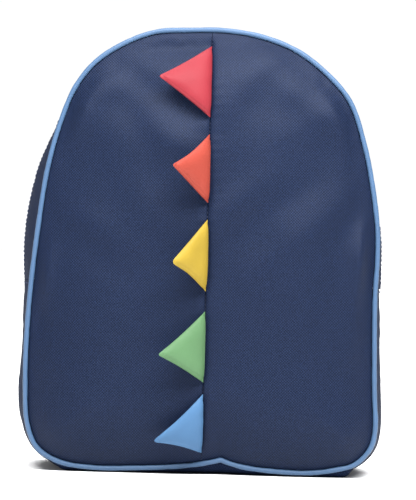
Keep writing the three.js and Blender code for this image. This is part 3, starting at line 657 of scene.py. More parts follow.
def coated(name, colour):
    """Smooth coated cloth, as on the spikes: satin, with a fine grain."""
    m = Maker(name, 0.5, specular=0.11)
    fine = m.noise(m.place(), 2600.0, 2.0)
    soft = m.noise(m.place(), 45.0, 3.0)
    m.colour(m.blend(soft, scaled(colour, 0.86), scaled(colour, 1.1)))
    m.rough(m.math("ADD", m.math("MULTIPLY", soft, 0.16), 0.44))
    lumps = m.bump(soft, 0.0009, 0.6)
    m.bump(fine, 0.00003, 1.0, lumps)
    return m.material


def piping_cloth(name, colour):
    """Satin bias tape over a cord, its threads running across it at a slant."""
    m = Maker(name, 0.42, specular=0.25)
    uv = m.uv()
    parts = m.node("ShaderNodeSeparateXYZ", Vector=uv)
    slant = m.math("ADD", parts.outputs[0], m.math("MULTIPLY", parts.outputs[1], 0.8))
    ribs = m.wave(slant, 0.0011)
    soft = m.noise(m.place(), 60.0, 2.0)
    tone = m.math("ADD", m.math("MULTIPLY", ribs, 0.1), soft)
    m.colour(m.blend(tone, scaled(colour, 0.85), scaled(colour, 1.12)))
    lumps = m.bump(soft, 0.0003, 0.5)
    m.bump(ribs, 0.00002, 1.0, lumps)
    return m.material


def moulded(name, colour, roughness=0.5):
    """Moulded plastic with a fine spark-eroded grain."""
    m = Maker(name, roughness, specular=0.35)
    grain = m.noise(m.place(), 3200.0, 2.0)
    soft = m.noise(m.place(), 90.0, 2.0)
    m.colour(m.blend(soft, scaled(colour, 0.85), scaled(colour, 1.2)))
    m.rough(m.math("ADD", m.math("MULTIPLY", grain, 0.14), roughness - 0.07))
    m.bump(grain, 0.00003)
    return m.material


def thread_material(name, colour):
    m = Maker(name, 0.6, specular=0.1)
    twist = m.noise(m.place(), 2400.0, 1.0)
    m.colour(m.blend(twist, scaled(colour, 0.7), scaled(colour, 1.4)))
    m.bump(twist, 0.00005)
    return m.material


NAVY = (0.0052, 0.0096, 0.0262)
shell = woven("navy_nylon", NAVY)
side_cloth = woven("navy_side_nylon", NAVY, specular=0.05, roughness=0.7)
pad_cloth = woven("navy_strap_nylon", scaled(NAVY, 0.85))
back_cloth = woven("navy_back_nylon", scaled(NAVY, 0.92))
piping_blue = piping_cloth("light_blue_piping", (0.040, 0.081, 0.152))
webbing_navy = webbing_material("navy_webbing", (0.024, 0.032, 0.07))
plastic = moulded("dark_navy_plastic", (0.014, 0.018, 0.034))
thread_dark = thread_material("dark_thread", (0.012, 0.015, 0.03))
thread_navy = thread_material("navy_thread", (0.03, 0.04, 0.085))


# Stitches

def along_line(values, run, where):
    """Rows of three numbers, read at distances along a line."""
    return np.stack([np.interp(where, run, values[:, k]) for k in range(3)], 1)


def stitch_rows(name, lines, material, slot, pitch=3.3, length=2.4, radius=0.28):
    """Small stitches along lines. Each line is (points, normals) in the bag's frame."""
    sides, rings = 6, 5
    vertices, faces = [], []
    for points, normals in lines:
        points, normals = np.asarray(points, float), np.asarray(normals, float)
        run = distances(points)
        count = int(run[-1] / pitch)
        if count < 1:
            continue
        at = (np.arange(count) + 0.5) * pitch
        centre, normal = along_line(points, run, at), unit(along_line(normals, run, at))
        along = unit(along_line(points, run, at + 0.5) - along_line(points, run, at - 0.5))
        across = unit(np.cross(along, normal))
        for c, t, n, b in zip(centre, along, normal, across):
            base = len(vertices)
            for r in range(rings):
                s = mix(-1, 1, r / (rings - 1))
                wide = radius * max(0.25, math.sqrt(max(0.0, 1 - s**4)))
                lift = radius * 0.7 * (1 - s * s) - radius * 0.35
                for k in range(sides):
                    angle = 2 * math.pi * k / sides
                    offset = b * (math.cos(angle) * wide) + n * (math.sin(angle) * wide + lift)
                    vertices.append(c + t * (s * length / 2) + offset)
            for r in range(rings - 1):
                for k in range(sides):
                    a, d = base + r * sides + k, base + r * sides + (k + 1) % sides
                    faces.append((a, d, d + sides, a + sides))
            faces.append(tuple(base + k for k in reversed(range(sides))))
            faces.append(tuple(base + (rings - 1) * sides + k for k in range(sides)))
    obj = make_object(name, vertices, faces, material)
    return place_piece(obj, slot)


# The front panel

def uneven(count, crowd):
    """0 to 1 in steps that crowd towards both ends."""
    t = np.linspace(0, 1, count)
    return mix(t, (1 - np.cos(np.pi * t)) / 2, crowd)


def front_half(name, side):
    columns, rows = ((110, 300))
    start = side * HALF_START / RING_LENGTH
    end = TOP_SHARE - start if side > 0 else TOP_SHARE - 1 - start
    u, v = np.meshgrid(uneven(columns, 0.75), uneven(rows, 0.35), indexing="ij")
    x, z, _, ox, oz = ring_at(mix(start, end, v))
    z = z + dent_lift(x, z, 0.0)
    seam_low = gusset_point(0.0, 0.0)[2] + SEAM_EDGE
    seam_high = ring_at(TOP_SHARE)[1] - SEAM_EDGE
    px = mix(SEAM_X - side * GAP / 2, x - ox * SEAM_EDGE, u)
    pz = mix(mix(seam_low, seam_high, v), z - oz * SEAM_EDGE, u)
    height = front_height(px, pz)
    outer = np.stack([px, -height, pz], -1)
    inner = np.stack([px, FABRIC - height, pz], -1)
    run = np.stack([px, pz], -1)
    obj = sheet_object(name, outer, inner, run, shell)
    return place_piece(obj, "shell", name)


front_half("front_panel_left", 1)
front_half("front_panel_right", -1)


def piping():
    steps, sides = ((1100, 16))
    share = np.arange(steps) / steps
    centre = gusset_point(share, 0.0)
    along = unit(np.roll(centre, -1, 0) - np.roll(centre, 1, 0))
    out = unit(np.cross(along, BACKWARDS))
    angle = 2 * np.pi * np.arange(sides) / sides
    run = share * RING_LENGTH
    swell = 1 + 0.05 * lattice_noise(run, 0.0, 9, 21)
    swell = swell * mix(1, 0.93, np.abs(np.sin(run / 5.3)) ** 12)
    swell[-8:] = mix(swell[-8:], swell[0], np.linspace(0, 1, 8))
    radius = (PIPING / 2 * swell)[:, None, None]
    ring = out[:, None] * np.cos(angle)[:, None] + FORWARDS * np.sin(angle)[:, None]
    rings = centre[:, None] + radius * ring
    uv = np.stack(np.broadcast_arrays(run[:, None], (angle * PIPING / 2)[None]), -1)
    obj = loft_object("piping", rings, piping_blue, uv, closed=True)
    return place_piece(obj, "piping", "front_piping")


piping()


# The gusset

WRINKLE_FADE = 12.0  # wrinkles fade in within this distance of the gusset's seams
WRINKLE_CAP = 0.6
RIM_ROLL = 0.35  # how far a cut edge is rolled in
CLOTH_WALL = (0.0, FABRIC, side_cloth, "shell")  # inset, wall, material and slot


def gusset_wrinkle(share, depth):
    """Small unevenness of the gusset, nothing at its seams or where it lies on the floor."""
    run = share * RING_LENGTH
    rising = ring_at(share)[4]
    edge = np.clip(depth / WRINKLE_FADE, 0, 1) * np.clip((GUSSET_DEPTH - depth) / WRINKLE_FADE, 0, 1)
    off_floor = smoothstep(rising, -0.93, -0.5)
    wave = 0.8 * lattice_noise(run + 0.7 * depth, depth * 0.6, 27, 31)
    gather = 0.35 * lattice_noise(run * 1.6, depth * 0.5, 8, 33)
    return (wave * edge + gather * (0.3 + 0.7 * edge)) * off_floor


def gusset_sheet(name, low, high, front, back, inset, wall, material, slot, wrinkled=True):
    length = (high - low) * RING_LENGTH
    columns = int(length / (1.9)) + 2
    rows = max(3, int((back - front) / (1.8)) + 2)
    share, depth = np.meshgrid(np.linspace(low, high, columns), np.linspace(front, back, rows), indexing="ij")
    fold = gusset_wrinkle(share, depth) if wrinkled else np.zeros(share.shape)
    rim = np.minimum(depth - front, back - depth)
    roll = RIM_ROLL * np.exp(-rim / 0.7) if wrinkled else 0.0
    outer = gusset_point(share, depth, inset - np.minimum(fold, WRINKLE_CAP) + roll)
    inner = gusset_point(share, depth, inset + wall + np.maximum(-fold, 0) * 0.2)
    uv = np.stack([share * RING_LENGTH, depth], -1)
    obj = sheet_object(name, outer, inner, uv, material)
    return place_piece(obj, slot, name)


gusset_sheet("gusset_lower", RIGHT_JOIN - 1, LEFT_JOIN, SEAM_EDGE, GUSSET_DEPTH, *CLOTH_WALL)
strip_low, strip_high = LEFT_JOIN + JOIN_GAP, RIGHT_JOIN - JOIN_GAP
gusset_sheet("gusset_front_strip", strip_low, strip_high, SEAM_EDGE, ZIP_SETBACK, *CLOTH_WALL)
gusset_sheet("gusset_back_strip", strip_low, strip_high, ZIP_BACK, GUSSET_DEPTH, *CLOTH_WALL)
lap = ZIP_TAPE_LAP / RING_LENGTH
gusset_sheet(
    "zip_tape",
    LEFT_JOIN - lap,
    RIGHT_JOIN + lap,
    ZIP_SETBACK - ZIP_TAPE_LAP,
    ZIP_BACK + ZIP_TAPE_LAP,
    FABRIC + GAP,
    ZIP_TAPE,
    webbing_navy,
    "webbing",
    wrinkled=False,
)


def ring_frame(share, depth, inset):
    """A point of the gusset with its directions along the seam, towards the back and outwards."""
    here = gusset_point(share, depth, inset)
    along = unit(gusset_point(share + 0.0008, depth, inset) - gusset_point(share - 0.0008, depth, inset))
    out = unit(np.cross(np.broadcast_to(BACKWARDS, along.shape), along))
    _, _, _, ox, oz = ring_at(share)
    turn = np.sign(out[..., 0] * ox + out[..., 2] * oz)
    return here, along, out * turn[..., None]


def tube_rings(rings, vertices, faces):
    """Adds a closed tube through rings of points to the lists."""
    start, sides = len(vertices), len(rings[0])
    for ring in rings:
        vertices.extend(ring)
    for r in range(len(rings) - 1):
        for j in range(sides):
            a, b = start + r * sides + j, start + r * sides + (j + 1) % sides
            faces.append((a, b, b + sides, a + sides))
    faces.append(tuple(start + j for j in reversed(range(sides))))
    faces.append(tuple(start + (len(rings) - 1) * sides + j for j in range(sides)))


ZIP_MIDDLE = ZIP_SETBACK + ZIP_OPENING / 2
MEET = TOP_SHARE + SLIDER_OFFSET / RING_LENGTH
TOOTH_PITCH = 1.9
TOOTH_RADIUS = 0.42
TOOTH_SETBACK = 1.0  # below the gusset's outer face


def zip_teeth():
    """The closed coil on both sides of the sliders: two rows of fine turns that meet in the middle."""
    sides = 6
    under_slider = (SLIDER_LENGTH + 1.5 * GAP) / RING_LENGTH
    spans = [(LEFT_JOIN + JOIN_GAP, MEET - under_slider), (MEET + under_slider, RIGHT_JOIN - JOIN_GAP)]
    vertices, faces = [], []
    for low, high in spans:
        for k in range(int((high - low) * RING_LENGTH / TOOTH_PITCH)):
            for row in (-1, 1):
                share = low + (k + 0.5 + 0.25 * row) * TOOTH_PITCH / RING_LENGTH
                base, along, out = ring_frame(np.array(share), ZIP_MIDDLE, TOOTH_SETBACK)
                rings = []
                for s in np.linspace(0, 1, 5):
                    centre = base + BACKWARDS * row * mix(-0.3, 2.3, s)
                    centre = centre + out * 0.45 * math.sin(math.pi * mix(0.25, 0.95, s))
                    thick = TOOTH_RADIUS * (1 - 0.25 * s)
                    turn = 2 * np.pi * np.arange(sides)[:, None] / sides
                    rings.append(centre + along * thick * np.cos(turn) + out * thick * 0.9 * np.sin(turn))
                tube_rings(rings, vertices, faces)
    obj = make_object("zip_teeth", vertices, faces, plastic)
    return place_piece(obj, "plastic", "zip_coil_left", "zip_coil_right")


zip_teeth()


def plate(outline, low, high, bevel):
    """Rings of a flat plate with rounded edges: outline rows are (along, across)."""
    outline = np.asarray(outline, float)
    middle = outline.mean(0)
    inward = unit(middle - outline)
    near = bevel * 0.3
    steps = [(low, bevel), (low + near, near), (low + bevel, 0.0)]
    steps += [(high - bevel, 0.0), (high - near, near), (high, bevel)]

    def ring(flat, level):
        return np.column_stack([flat, np.full(len(flat), level)])

    def cap(level, rim):
        return ring(np.broadcast_to(middle, outline.shape), level) * 0.9 + rim * 0.1

    rings = [ring(outline + inward * inset, level) for level, inset in steps]
    return [cap(low, rings[0]), *rings, cap(high, rings[-1])]


def rounded_outline(half_widths, length, steps=10):
    """A plan symmetrical about its length: half widths at even steps from one end to the other."""
    x = np.linspace(-length / 2, length / 2, len(half_widths))
    fine = np.linspace(-length / 2, length / 2, steps * (len(half_widths) - 1) + 1)
    half = np.interp(fine, x, half_widths)
    end = np.clip((length / 2 - np.abs(fine)) / 1.2, 0, 1)
    half = half * np.sqrt(np.maximum(1 - (1 - end) ** 2, 0.02))
    return np.vstack([np.column_stack([fine, half]), np.column_stack([fine[::-1], -half[::-1]])])


SLIDER_PLATE = 0.9
BRIDGE_RISE = 1.3  # how far the bridge stands over a slider's upper plate


def zip_slider(side, name):
    """A slider's body, its bridge and its pull, which lies back over the coil."""

    def frame_at(distance):
        here, along, out = ring_frame(np.array(MEET + side * distance / RING_LENGTH), ZIP_MIDDLE, FABRIC)
        return here, along * side, out

    def put(rings, frame):
        here, along, out = frame
        return [here + r[:, 0:1] * along + r[:, 1:2] * BACKWARDS + r[:, 2:3] * out for r in rings]

    vertices, faces = [], []
    half = SLIDER_LENGTH / 2
    body_frame = frame_at(GAP / 2 + half)
    wide = SLIDER_WIDTH / 2 - GAP
    plan = rounded_outline([wide, wide, wide * 0.92, wide * 0.72, wide * 0.66, wide * 0.66], SLIDER_LENGTH)
    top = SLIDER_HEIGHT - BRIDGE_RISE
    tube_rings(put(plate(plan, 0.0, SLIDER_PLATE, 0.25), body_frame), vertices, faces)
    tube_rings(put(plate(plan, top - SLIDER_PLATE, top, 0.3), body_frame), vertices, faces)
    wedge = rounded_outline([1.6, 1.9, 1.2, 0.5], SLIDER_LENGTH * 0.45) - np.array([SLIDER_LENGTH * 0.24, 0])
    tube_rings(put(plate(wedge, 0.6, top - 0.5, 0.05), body_frame), vertices, faces)
    turn = np.linspace(0, 2 * np.pi, 10, endpoint=False)
    bridge = []
    for s in np.linspace(0, 1, 15):
        place = mix(-3.6, 3.8, s)
        level = top - 0.3 + 1.25 * math.sin(math.pi * s) ** 0.45
        lean = math.cos(math.pi * s)
        bridge.append(
            np.column_stack([place + 0.45 * np.cos(turn) * lean, np.sin(turn), level + 0.36 * np.cos(turn)])
        )
    tube_rings(put(bridge, body_frame), vertices, faces)
    pull_frame = frame_at(GAP / 2 + SLIDER_LENGTH * 2 / 3 + PULL_LENGTH / 2)
    low = COIL_HEIGHT + 2 * GAP
    narrow, broad = PULL_WIDTH * 0.32, PULL_WIDTH / 2
    pull_widths = [narrow, narrow * 1.1, narrow * 0.9, broad * 0.85, broad, broad, broad]
    pull_plan = rounded_outline(pull_widths, PULL_LENGTH)
    tube_rings(put(plate(pull_plan, low, low + PULL_THICK, 0.4), pull_frame), vertices, faces)
    grip = rounded_outline([broad * 0.6, broad * 0.62, broad * 0.62], PULL_LENGTH * 0.36)
    grip = grip + np.array([PULL_LENGTH * 0.24, 0])
    raised = plate(grip, low + PULL_THICK * 0.5, low + PULL_THICK + 0.25, 0.2)
    tube_rings(put(raised, pull_frame), vertices, faces)
    obj = make_object("zip_slider_made_" + name, vertices, faces, plastic)
    return place_piece(obj, "plastic", "zip_slider_" + name)


zip_slider(-1, "left")
zip_slider(1, "right")


HEM = 2.0  # from a cut edge to its row of stitches


def zip_stitches():
    lines = []
    for depth in (ZIP_SETBACK - HEM, ZIP_BACK + HEM):
        share = np.linspace(strip_low + 0.002, strip_high - 0.002, 500)
        fold = np.minimum(gusset_wrinkle(share, depth), WRINKLE_CAP)
        points = gusset_point(share, depth, -fold)
        _, _, out = ring_frame(share, depth, 0.0)
        lines.append((points, out))
    for join, step in ((LEFT_JOIN, -1), (RIGHT_JOIN, 1)):
        depth = np.linspace(6, GUSSET_DEPTH - 4, 90)
        share = np.full(len(depth), join + step * HEM / RING_LENGTH)
        fold = np.minimum(gusset_wrinkle(share, depth), WRINKLE_CAP)
        _, _, out = ring_frame(share, depth, 0.0)
        lines.append((gusset_point(share, depth, -fold), out))
    return stitch_rows("gusset_stitches", lines, thread_navy, "shell")


zip_stitches()


def seam_stitches():
    """Threads in the middle seam where it shows between the spikes."""
    z = np.linspace(10, 314, 900)
    shown = spike_cover(z) < 0.5
    runs = np.split(np.arange(len(z)), np.nonzero(np.diff(shown.astype(int)))[0] + 1)
    lines = []
    for run in runs:
        if not shown[run[0]] or len(run) < 6:
            continue
        height = front_height(np.full(len(run), SEAM_X), z[run])
        points = np.stack([np.full(len(run), SEAM_X), -height - 0.75, z[run]], 1)
        lines.append((points, np.broadcast_to(FORWARDS, points.shape)))
    return stitch_rows("seam_stitches", lines, thread_dark, "shell", pitch=3.0, length=1.7, radius=0.32)


seam_stitches()


# The back panel

def back_panel():
    columns, rows = ((110, 150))
    u, v = np.meshgrid(uneven(columns, 0.5), np.linspace(0, 1, rows), indexing="ij")

    def edge(share):
        return gusset_point(share, GUSSET_DEPTH, GAP)[..., [0, 2]]

    corner, top = BACK_CORNER / RING_LENGTH, BACK_TOP / 2 / RING_LENGTH
    left = edge(mix(corner, TOP_SHARE - top, v))
    right = edge(mix(-corner, TOP_SHARE - 1 + top, v))
    row = mix(left, right, u[..., None])
    straight = mix(edge(np.array(corner)), edge(np.array(-corner)), u[..., None])
    sag = (edge(mix(corner, -corner, u)) - straight) * (1 - v[..., None]) ** 4
    x, z = row[..., 0] + sag[..., 0], row[..., 1] + sag[..., 1]
    inset = inset_from(back_seam, x, z)
    calm = np.clip(inset / 16, 0, 1)
    ripple = 0.5 * lattice_noise(x, z * 0.8, 42, 51) * calm
    gather = 0.3 * lattice_noise(x * 1.5, z * 1.5, 9, 53) * np.exp(-inset / 9) * (1 - np.exp(-inset / 2))
    y = back_depth(x, z) + np.minimum(ripple + gather, 0.35)
    outer = np.stack([x, y, z], -1)
    inner = np.stack([x, back_depth(x, z) - FABRIC, z], -1)
    obj = sheet_object("back_panel", outer, inner, np.stack([x, z], -1), back_cloth)
    return place_piece(obj, "shell", "back_panel")


back_panel()


# The spikes

RIM_WIDTH = 7.5
RIM_BLEND = 2.2
SEW_LINE = 1.5  # in from the lower edge, where the turned edge is caught
SEW_DEPTH = 0.22
SEW_WIDTH = 0.5
RIM_SHARE = 0.74  # of the stuffing's height, the rest being the dome
DOME_REACH = 8.0
SPIKE_RINGS = 34


def spike_outline(base, tip, upper, lower, blunt):
    """The flat outline from the foot round the tip and back down the base, closely spaced."""
    foot, head = np.array([0.0, 0.0]), np.array([base, 0.0])
    corner = np.array([tip * base, SPIKE_HEIGHT])

    def short(end):
        away = end - corner
        return corner + away / np.linalg.norm(away) * blunt

    def edge(start, end, waist):
        inwards = np.array([end[1] - start[1], start[0] - end[0]])
        inwards = inwards / np.linalg.norm(inwards)
        t = np.linspace(0, 1, 40)[:, None]
        return start + (end - start) * t + inwards * waist * SPIKE_HEIGHT * np.sin(np.pi * t)

    low, high = short(foot), short(head)
    t = np.linspace(0, 1, 9)[1:-1, None]
    round_tip = (1 - t) ** 2 * low + 2 * t * (1 - t) * corner + t**2 * high
    base_line = head + (foot - head) * np.linspace(0, 1, 26)[1:-1, None]
    return np.vstack([edge(foot, low, lower), round_tip, edge(high, head, upper), base_line])


def spike(row, seed):
    name, foot_share, long, tip, reach_share, upper, lower = row
    base, foot = long * SPIKE_BASE, foot_share * BODY_HEIGHT
    reach = reach_share * SPIKE_HEIGHT
    lift = max(0.0, math.sqrt(SPIKE_HEIGHT**2 - reach**2) - SPIKE_RISE)

    def lean(r):
        t = r / SPIKE_HEIGHT
        return np.stack([-reach * t, -lift * t - SPIKE_RISE * (1 - np.exp(-r / SPIKE_BEND))], -1)

    seat_z = foot + np.linspace(0, base, 60)
    seat_y = front_height(np.full(60, SEAM_X), seat_z, fine=False) + GAP + SPIKE_EDGE / 2

    def place(flat, half):
        at = lean(flat[:, 1])
        along = unit(lean(flat[:, 1] + 0.5) - at)
        a = np.clip(flat[:, 0], 0, base)
        seat = np.interp(foot + a, seat_z, seat_y)
        x = SEAM_X + at[:, 0] - along[:, 1] * half
        y = at[:, 1] - seat + along[:, 0] * half
        return np.stack([x, y, foot + flat[:, 0]], 1)

    outline = spike_outline(base, tip, upper, lower, SPIKE_TIPS[name])
    heart = np.array([base * (1 + tip) / 3, SPIKE_HEIGHT / 3])
    run = distances(outline)
    corner = np.array([tip * base, SPIKE_HEIGHT])
    lower_end = np.array([0.0, 0.0])
    sides = [(lower_end, corner, lower), (np.array([base, 0.0]), corner, upper)]

    def stuffing(flat, t):
        """Half the thickness: a soft rim along the sewn edges and a nearly flat middle."""
        crowd = np.exp(-flat[:, 1] * 1.4 / RIM_BLEND)
        for end, tip_corner, waist in sides:
            way = (tip_corner - end) / np.linalg.norm(tip_corner - end)
            away = flat - end
            off = np.abs(away[:, 0] * way[1] - away[:, 1] * way[0])
            along = np.clip(away @ way / np.linalg.norm(tip_corner - end), 0, 1)
            off = np.maximum(off - waist * SPIKE_HEIGHT * np.sin(np.pi * along), 0)
            crowd = crowd + np.exp(-off / RIM_BLEND)
            if end is lower_end:
                sewn = SEW_DEPTH * np.exp(-(((off - SEW_LINE) / SEW_WIDTH) ** 2))
        inset = np.maximum(-RIM_BLEND * np.log(crowd), 0)
        rim = np.sqrt(np.maximum(1 - (1 - np.clip(inset / RIM_WIDTH, 0, 1)) ** 2, 0))
        dome = 1 - np.exp(-inset / DOME_REACH)
        edge = SPIKE_EDGE / 2 * min(1.0, math.sqrt(t * 14)) * 0.75
        puff = SPIKE_PUFF / 2 * mix(dome, rim, RIM_SHARE)
        return np.maximum(puff - sewn, edge)

    rings = []
    levels = np.concatenate([np.linspace(0, 1, SPIKE_RINGS)[:-1] ** 1.7, [0.985]])
    material = coated(name + "_cloth", SPIKE_COLOURS[name])
    for face in (-1, 1):
        chosen = levels[::-1] if face < 0 else levels[1:]
        for t in chosen:
            flat = outline + (heart - outline) * t
            pucker = 0.22 * lattice_noise(run, seed, 6.5, seed) * (1 - t) ** 3 * min(1, t * 12)
            lump = 0.3 * lattice_noise(flat[:, 0] * 1.3, flat[:, 1], 13, seed + 1) * min(1, t * 4)
            half = np.maximum(stuffing(flat, t) + pucker + lump, 0.0) if t > 0 else np.zeros(len(run))
            rings.append(place(flat, face * half))
    rings = np.array(rings)
    uv = np.zeros(rings.shape[:2] + (2,))
    uv[..., 0], uv[..., 1] = run[None], np.arange(len(rings))[:, None]
    obj = loft_object(name, rings, material, uv, sharp=75)
    place_piece(obj, name, name)
    return obj


for number, row in enumerate(SPIKES):
    spike(row, 60 + 3 * number)


# The straps

def off_back(side, row, thick):
    """A place given as in STRAP_LINE, over a piece of the given thickness on the back."""
    x, z = side * row[0] * HALF_WIDTH, row[1] * BODY_HEIGHT
    depth = float(back_depth(x, z))
    return np.array([x, depth + SEAT + thick / 2 + row[2] * STRAP_BOW, z])


def ribbon_frames(line, across=None):
    """Across and outward directions at each point of a ribbon that faces the back."""
    along = unit(np.gradient(line, axis=0))
    if across is None:
        across = unit(np.cross(along, np.broadcast_to(BACKWARDS, along.shape)))
    else:
        across = np.broadcast_to(across, along.shape)
    return across, unit(np.cross(across, along))


def ribbon_rings(line, wide, out, across, thick):
    """Rings about a line, from distances across and through it, one row for all or one for each ring."""
    across, thick = np.atleast_2d(across)[..., None], np.atleast_2d(thick)[..., None]
    return line[:, None] + wide[:, None] * across + out[:, None] * thick


PAD_SEAM = 5.0  # from a pad's edge to its row of stitches


def pad_width(t):
    end = np.where(t < 0.5, PAD_TOP_WIDTH, PAD_END_WIDTH)
    return mix(end, PAD_WIDTH, np.maximum(np.sin(np.pi * t), 0) ** 0.8)


def pad_thick(t):
    return PAD_THICK * mix(0.42, 1, np.maximum(np.sin(np.pi * np.clip(t, 0, 1)), 0) ** 0.45)


def strap_pad(side, name):
    points = [off_back(side, row, PAD_THICK) for row in STRAP_LINE]
    line, length = smooth_curve(points, False, 50)
    count = len(line)
    t = np.linspace(0, 1, count)
    across, out = ribbon_frames(line)
    half = 26
    b = np.sin(np.linspace(-np.pi / 2, np.pi / 2, half)) * 0.5
    section_b = np.concatenate([b, b[::-1][1:-1]])
    face = np.concatenate([np.full(half, 1.0), np.full(half - 2, -1.0)])
    width, thick = pad_width(t)[:, None], pad_thick(t)[:, None]
    in_edge = (0.5 - np.abs(section_b))[None] * width
    body = 1 - (1 - np.clip(in_edge / 9, 0, 1)) ** 2.2
    groove = 1.1 * np.exp(-(((in_edge - PAD_SEAM) / 0.9) ** 2))
    hem = 0.9 * np.exp(-((in_edge / 1.6) ** 2))
    run = t[:, None] * length
    dimple = 0.35 * lattice_noise(run * 1.2, section_b[None] * width, 12, 71)
    height = np.maximum(thick / 2 * mix(0.24, 1, body) - groove * 0.7 + dimple * body, 0.5) + hem * 0.3
    height = np.minimum(height, thick / 2)
    height = np.where(in_edge < 0.02, 0.0, height)
    rings = ribbon_rings(line, across, out, section_b * width, face * height)
    uv = np.stack(np.broadcast_arrays(run, section_b[None] * width), -1)
    obj = loft_object("strap_pad_" + name, rings, pad_cloth, uv, sharp=70)
    place_piece(obj, "strap_pad", "strap_pad_" + name)
    lines = []
    for edge in (-1, 1):
        for face_sign in (-1, 1):
            offset = edge * (pad_width(t) / 2 - PAD_SEAM)
            level = face_sign * np.maximum(pad_thick(t) / 2 * 0.78 - 0.55, 0.6)
            keep = (t > 0.03) & (t < 0.97)
            points = line + across * offset[:, None] + out * level[:, None]
            lines.append((points[keep], (out * face_sign)[keep]))
    stitch_rows("strap_stitches_" + name, lines, thread_navy, "strap_pad", pitch=3.6)
    return line, length


def webbing_object(name, points, across, steps):
    """Flat webbing through points, its width along one direction."""
    line, length = smooth_curve(points, False, steps)
    wide, out = ribbon_frames(line, across)
    b = np.linspace(-0.5, 0.5, 9)
    profile = WEBBING / 2 * (1 - (np.abs(b) * 2) ** 12 * 0.55)
    section_b = np.concatenate([b, b[::-1]])
    section_n = np.concatenate([profile, -profile[::-1]])
    rings = ribbon_rings(line, wide, out, section_b * WEBBING_WIDTH, section_n)
    run = np.linspace(0, length, len(line))
    uv = np.stack(np.broadcast_arrays(run[:, None], (section_b * WEBBING_WIDTH)[None]), -1)
    obj = loft_object(name, rings, webbing_navy, uv, sharp=50)
    return place_piece(obj, "webbing", name)


def level_direction(start, end):
    """The direction from start to end along the back."""
    towards = end - start
    towards[1] = 0
    return towards / np.linalg.norm(towards)


def off_anchor(anchor, centre, distance):
    """A point of the webbing over its anchor, at a distance from the anchor's middle."""
    p = anchor + level_direction(anchor, centre) * distance
    depth = float(back_depth(p[0], p[2]))
    p[1] = depth + 2 * SEAT + ANCHOR_THICK + WEBBING / 2
    return p


def strap_anchor(anchor, centre, name):
    towards = level_direction(anchor, centre)
    across = np.array([towards[2], 0, -towards[0]])
    u, v = np.meshgrid(np.linspace(0, 1, 28), np.linspace(0, 1, 30), indexing="ij")
    wide = mix(ANCHOR_WIDTH, WEBBING_WIDTH + 2, v)
    p = anchor + towards * ((v - 0.5) * ANCHOR_LENGTH)[..., None] + across * ((u - 0.5) * wide)[..., None]
    level = back_depth(p[..., 0], p[..., 2]) + SEAT
    rim = np.minimum((0.5 - np.abs(u - 0.5)) * wide, (0.5 - np.abs(v - 0.5)) * ANCHOR_LENGTH)
    thick = ANCHOR_THICK * (0.8 + 0.2 * (1 - np.exp(-rim / 1.2))) - 0.3 * np.exp(-(((rim - 3) / 0.8) ** 2))
    outer = np.stack([p[..., 0], level + thick, p[..., 2]], -1)
    inner = np.stack([p[..., 0], level, p[..., 2]], -1)
    uv = np.stack([(u - 0.5) * wide, v * ANCHOR_LENGTH], -1)
    obj = sheet_object("strap_anchor_" + name, outer, inner, uv, pad_cloth)
    place_piece(obj, "shell", "strap_anchor_" + name)
    lines = []
    for edge in (-1, 1):
        v1 = np.linspace(0.06, 0.94, 30)
        side = edge * (mix(ANCHOR_WIDTH, WEBBING_WIDTH + 2, v1) / 2 - 3)
        q = anchor + towards * ((v1 - 0.5) * ANCHOR_LENGTH)[:, None] + across * side[:, None]
        q[:, 1] = back_depth(q[:, 0], q[:, 2]) + SEAT + ANCHOR_THICK * 0.95
        lines.append((q, np.broadcast_to(BACKWARDS, q.shape)))
    stitch_rows("anchor_stitches_" + name, lines, thread_navy, "shell", pitch=3.0)


BOX_MARGIN = 2.5  # from the webbing's edge to a sewn box
THREAD_LIFT = 0.05


def box_stitch(name, corner_points):
    """A sewn box with a cross on webbing that faces the back, through four corners in order."""
    c = [np.asarray(p, float) for p in corner_points]
    pairs = [(0, 1), (1, 2), (2, 3), (3, 0), (0, 2), (1, 3)]
    lines = []
    for a, b in pairs:
        t = np.linspace(0, 1, 12)[:, None]
        line = c[a] + (c[b] - c[a]) * t
        lines.append((line, np.broadcast_to(BACKWARDS, line.shape)))
    return stitch_rows(name, lines, thread_navy, "webbing", pitch=2.6, length=2.0, radius=0.24)


